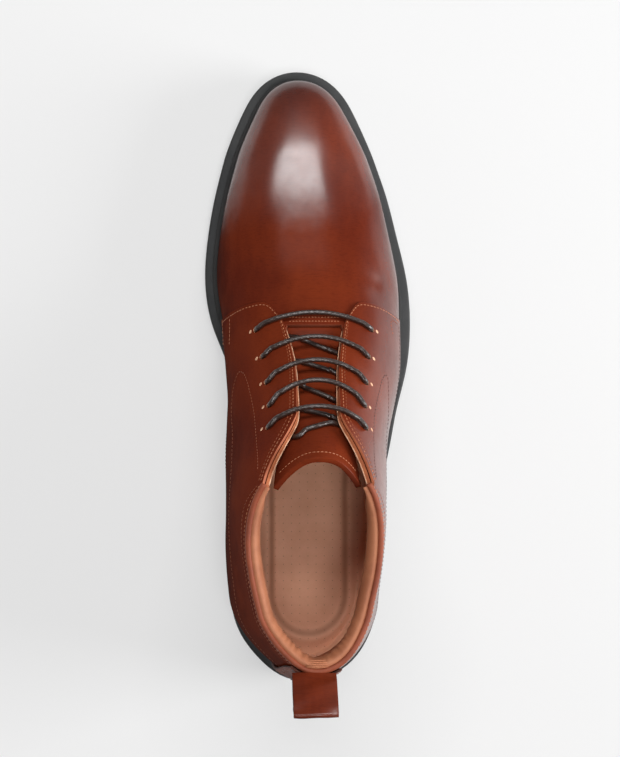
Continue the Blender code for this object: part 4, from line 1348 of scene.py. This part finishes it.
def soleEdge(y, share):
    # inset and height of the sole's edge at a share of its outline from bottom to top
    thickness = soleThickness(y)
    foot = soleLook["grooveFoot"] * thickness / soleLook["fore"]
    edge, deep = soleLook["edge"], soleLook["groove"]
    keys = np.array([0.0, 0.06, 0.12, 0.36, 0.42, 0.50, 0.56, 0.88, 0.94, 1.0])
    inset = np.array([edge, edge * 0.3, 0, 0, deep, deep, 0, 0, edge * 0.3, edge])
    heights = [0 * y, 0 * y + edge * 0.3, 0 * y + edge]
    heights += [foot + step for step in soleLook["grooveSteps"]]
    heights = np.stack(heights + [thickness - edge, thickness - edge * 0.3, thickness], -1)
    place = np.clip(np.searchsorted(keys, share, side="right") - 1, 0, len(keys) - 2)
    rows = np.arange(len(y))
    part = (share - keys[place]) / (keys[place + 1] - keys[place])
    height = heights[rows, place] * (1 - part) + heights[rows, place + 1] * part
    return inset[place] * (1 - part) + inset[place + 1] * part, height


def addChannel(shape, left, right, y, floor):
    # a block that cuts a channel across the sole, turned with the toe spring
    look = treadLook
    slope = 0.0
    if floor > 0.0:
        rise = float(soleBottom(y + look["width"]) - soleBottom(y - look["width"]))
        slope = math.atan2(rise, 2 * look["width"])
    size = (right - left, look["width"], 2 * look["depth"])
    spot = Matrix.Translation(((left + right) / 2, y, floor)) @ Matrix.Rotation(slope, 4, "X")
    bmesh.ops.create_cube(shape, size=1.0, matrix=spot @ Matrix.Diagonal((*size, 1.0)))


def makeTreadCutter():
    shape = newShape()
    look = treadLook
    for i in range(look["fore"]):
        y = look["foreStart"] + i * look["pitch"]
        at = float(stationOf(y))
        left = float(solePlan(-1.0, at)[0]) + look["rim"]
        right = float(solePlan(1.0, at)[0]) - look["rim"]
        addChannel(shape, left, right, y, float(soleBottom(y)))
    for i in range(look["heel"]):
        y = look["heelStart"] + i * look["pitch"]
        half = math.sqrt((last["heelBack"] - look["rim"]) ** 2 - min(y, 0.0) ** 2)
        addChannel(shape, -half, half, y, 0.0)
    return addObject("treadCutter", shape, [finishes["rubber"]])


def closeAcross(shape, stations, heights, inset):
    # faces from side to side that meet an edge grid's rows
    def place(u, v):
        at = np.interp(u * (len(stations) - 1), np.arange(len(stations)), stations)
        left, right = solePlan(-1.0, at, inset), solePlan(1.0, at, inset)
        plan = left + (right - left) * v[:, None]
        return np.column_stack([plan, heights(plan[:, 1])]), (at, v)

    addGrid(shape, len(stations) - 1, soleGrid["across"], place)


def makeOutsole(treads):
    shape = newShape()
    stations = toeSpread(np.linspace(0, 1, soleGrid["round"] // 2 + 1), backStation)

    def place(u, v):
        side, at = aroundFoot(u)
        y = solePlan(side, at)[:, 1]
        inset, height = soleEdge(y, v)
        plan = solePlan(side, at, inset)
        return np.column_stack([plan, soleBottom(plan[:, 1]) + height]), (at, v)

    addGrid(shape, soleGrid["round"], soleGrid["up"], place)
    closeAcross(shape, stations, soleBottom, soleLook["edge"])
    closeAcross(shape, stations, lambda y: soleBottom(y) + soleThickness(y), soleLook["edge"])
    mergeShape(shape, 1e-5)
    faceAway(shape, (0.0, 0.11, 0.005))
    piece = finishPiece("outsoleRubber", shape, ("rubber",), ("outsole",))
    cutBy(piece, treads)
    return settle(piece, 40)


def makeHeel(treads):
    shape = newShape()
    breast = float(stationOf(soleLook["heelBreast"]))
    inset, edge = soleLook["heelInset"], soleLook["edge"]
    columns = soleGrid["heel"]
    stations = np.linspace(breast, backStation, columns + 1)

    for side in (-1.0, 1.0):
        def place(u, v):
            at = np.interp(u * columns, np.arange(columns + 1), stations)
            foot = np.minimum(v / 0.1, 1)
            plan = solePlan(side, at, inset + edge * (1 - np.sqrt(1 - (1 - foot) ** 2)))
            top = soleBottom(plan[:, 1]) - clearance
            height = edge * foot + (top - edge) * np.maximum(0, (v - 0.1) / 0.9)
            return np.column_stack([plan, height]), (at, v)

        addGrid(shape, columns, soleGrid["heelUp"], place)
    closeAcross(shape, stations, lambda y: 0 * y, inset + edge)
    closeAcross(shape, stations, lambda y: soleBottom(y) - clearance, inset)
    mergeShape(shape, 1e-5)
    bmesh.ops.holes_fill(shape, edges=openEdges(shape), sides=0)
    faceAway(shape, (0.0, 0.0, 0.01))
    piece = finishPiece("heelBlock", shape, ("rubber",), ("heel",))
    cutBy(piece, treads)
    return settle(piece, 40)


def makeWelt():
    shape = newShape()
    thick, lip = soleLook["welt"], soleLook["edge"] / 2

    def place(u, v):
        side, at = aroundFoot(u)
        rim = sided("Rim", side, at) * last["rimWidth"]
        outer = 0.5 * (sided("Tuck", side, at) * halfBall + rim)
        keys = np.array([0.0, 0.22, 0.40, 0.46, 0.52, 0.75, 1.0])
        share = np.interp(v, keys, [0, 1, 1, 1, 1, 0, 0])
        drop = np.interp(v, keys, [0, 0, 1 - lip / thick, 1 - lip / thick * 0.3, 1, 1, 0])
        pull = np.interp(v, keys, [0, 0, 0, 0.3, 1, 0, 0]) * lip
        out = -shellLook["wall"] + (outer + shellLook["wall"]) * share - pull
        plan = footPlan(side, at, out)
        height = soleTop(plan[:, 1]) + clearance + thick * drop
        return np.column_stack([plan, height]), (at, v)

    addGrid(shape, soleGrid["round"], soleGrid["weltUp"], place)
    mergeShape(shape, 1e-5)
    bmesh.ops.recalc_face_normals(shape, faces=shape.faces)
    return finishPiece("weltStrip", shape, ("welt",), ("welt",))


# Insole: a leather footbed with a raised ring round a shallow oval in the heel
insoleLook = {
    "inset": 0.0027, "padHalf": 0.0185, "padMiddle": 0.0022, "padBack": 0.0080, "padFront": 0.110,
    "padTaper": 0.07, "padTaperStart": 0.060, "padSquash": 0.92, "padFade": 0.075, "padSoft": 0.0045,
    "sunk": 0.0018, "ring": 0.0017, "ringOut": 0.0022, "ringWidth": 0.0030, "shade": 0.012,
    "curl": 0.0045, "curlShare": 0.07, "curlStart": 0.45, "spread": 0.0012, "columns": 160, "rows": 60,
}


def heelPadAway(plan):
    # how far outside the heel's shallow oval
    look = insoleLook
    x = plan[:, 0] - look["padMiddle"]
    behind = np.maximum(0, look["padBack"] - plan[:, 1])
    ahead = np.maximum(0, plan[:, 1] - look["padTaperStart"])
    return np.hypot(x, behind * look["padSquash"]) - look["padHalf"] - look["padTaper"] * ahead


def heelPadDepth(plan):
    # the oval is sunk between soft raised sides
    look = insoleLook
    away = heelPadAway(plan)
    fade = 1 - smoothStep((plan[:, 1] - look["padFade"]) / (look["padFront"] - look["padFade"]))
    sunk = look["sunk"] * smoothStep(0.5 - away / look["padSoft"])
    return fade * (look["ring"] * bump(away - look["ringOut"], look["ringWidth"]) - sunk)


def makeInsole():
    look = insoleLook
    shape = newShape()
    thick, inset = soleLook["insole"], look["inset"]

    def surface(height):
        def place(u, v):
            at = toeSpread(u, backStation)
            left, right = footPlan(-1.0, at, -inset), footPlan(1.0, at, -inset)
            plan = left + (right - left) * denseEnds(v)[:, None]
            z = soleTop(plan[:, 1]) + clearance + height
            if height > 0:
                curl = smoothStep(1 - np.minimum(v, 1 - v) / look["curlShare"])
                curl = curl * smoothStep((at - look["curlStart"]) / 0.15)
                z = z + look["curl"] * curl + heelPadDepth(plan)
                side = np.where(v < 0.5, -1.0, 1.0)
                plan = plan + planNormal(side, at) * (look["spread"] * curl)[:, None]
            # the UV's second value carries the distance from the sunk oval, for the footbed's painted
            # shadow ring
            return np.column_stack([plan, z]), (at, 0.5 + heelPadAway(plan) / look["shade"])

        return place

    for height in (thick, 0.0):
        addGrid(shape, look["columns"], look["rows"], surface(height))
    mergeShape(shape, 1e-6)
    bmesh.ops.bridge_loops(shape, edges=openEdges(shape))
    bmesh.ops.recalc_face_normals(shape, faces=shape.faces)
    return finishPiece("footbed", shape, ("footbed",), ("insole",))


holes = makeHoleCutter()
makeShell(holes)
print("vamp and lining made")
for side in (1, -1):
    makeQuarter(side, holes)
makeBackstay()
print("quarters and back strip made")
makeTongue()
makePullLoop()
makeCollarRoll()
makeCollarPad()
print("tongue, loop and collar made")
makeLace()
makeStitches()
makeFacingLine()
makeRawSpots()
print("lace and stitches made")
treads = makeTreadCutter()
makeOutsole(treads)
makeHeel(treads)
makeWelt()
makeInsole()
print("sole made")
for cutter in (holes, treads):
    bpy.data.objects.remove(cutter, do_unlink=True)

# Stage: a pale floor, soft light and the photograph's camera
stageLook = {
    "cameraPlace": (-0.0499, 0.1087, 1.0), "aim": (0.0025, 0.1165, 0.040), "focal": 91.4,
    "floor": fromScreen(156, 156, 156), "speck": fromScreen(168, 168, 168), "floorGlow": 0.475,
    "zenith": 0.10, "horizon": 0.16,
}
lightRows = (  # name, place, aim, size, power
    ("toeStrip", (-0.03, 0.70, 1.10), (0, 0.2, 0.05), (0.90, 0.24), 9),
    ("outerBox", (1.25, 0.06, 0.52), (0, 0.1, 0.03), (0.60, 0.90), 21),
    ("innerBox", (-1.3, 0.3, 0.75), (0, 0.1, 0.03), (0.4, 0.8), 1.2),
    ("overhead", (0.06, -0.20, 1.7), (0, 0.0, 0.03), (0.35, 0.35), 8.5),
)


def makeFloor():
    look = stageLook
    finish = Finish("floorPaper", roughness=0.8, specularIORLevel=0.1, emissionStrength=look["floorGlow"])
    paper = finish.mix(finish.noise(0.004, 3, 0.6) * 0.10, look["floor"], look["speck"])
    finish.set(baseColor=paper, emissionColor=(1.0, 1.0, 1.0))
    shape = newShape()
    bmesh.ops.create_grid(shape, x_segments=1, y_segments=1, size=3.0)
    floor = addObject("floor", shape, [finish.material])
    floor.location = (0, 0, -0.0002)


def makeSky():
    # bright round the horizon, dim overhead
    world = bpy.data.worlds.new("studio")
    bpy.context.scene.world = world
    sky = Finish(world, "Background", color=(1.0, 1.0, 1.0))
    _, _, height = sky.axes("Generated")
    sky.set(strength=sky.band(height, 0.15, 0.85, stageLook["horizon"], stageLook["zenith"]))


def makeCamera():
    look = stageLook
    camera = link("camera", bpy.data.cameras.new("camera"))
    camera.data.lens = look["focal"]
    camera.data.sensor_width = 36
    camera.location = look["cameraPlace"]
    sight = Vector(look["aim"]) - Vector(look["cameraPlace"])
    back = -sight.normalized()
    right = Vector((0, 1, 0)).cross(back).normalized()
    upward = back.cross(right)
    camera.rotation_euler = Matrix((right, upward, back)).transposed().to_euler()
    bpy.context.scene.camera = camera


def addLight(name, place, aim, size, power):
    data = bpy.data.lights.new(name, "AREA")
    data.shape = "RECTANGLE"
    data.size, data.size_y = size
    data.energy = power
    light = link(name, data)
    light.location = place
    light.rotation_euler = (Vector(aim) - Vector(place)).to_track_quat("-Z", "Y").to_euler()


makeFloor()
makeSky()
makeCamera()
for row in lightRows:
    addLight(*row)
bpy.context.scene.view_settings.view_transform = "Standard"
print("stage made")
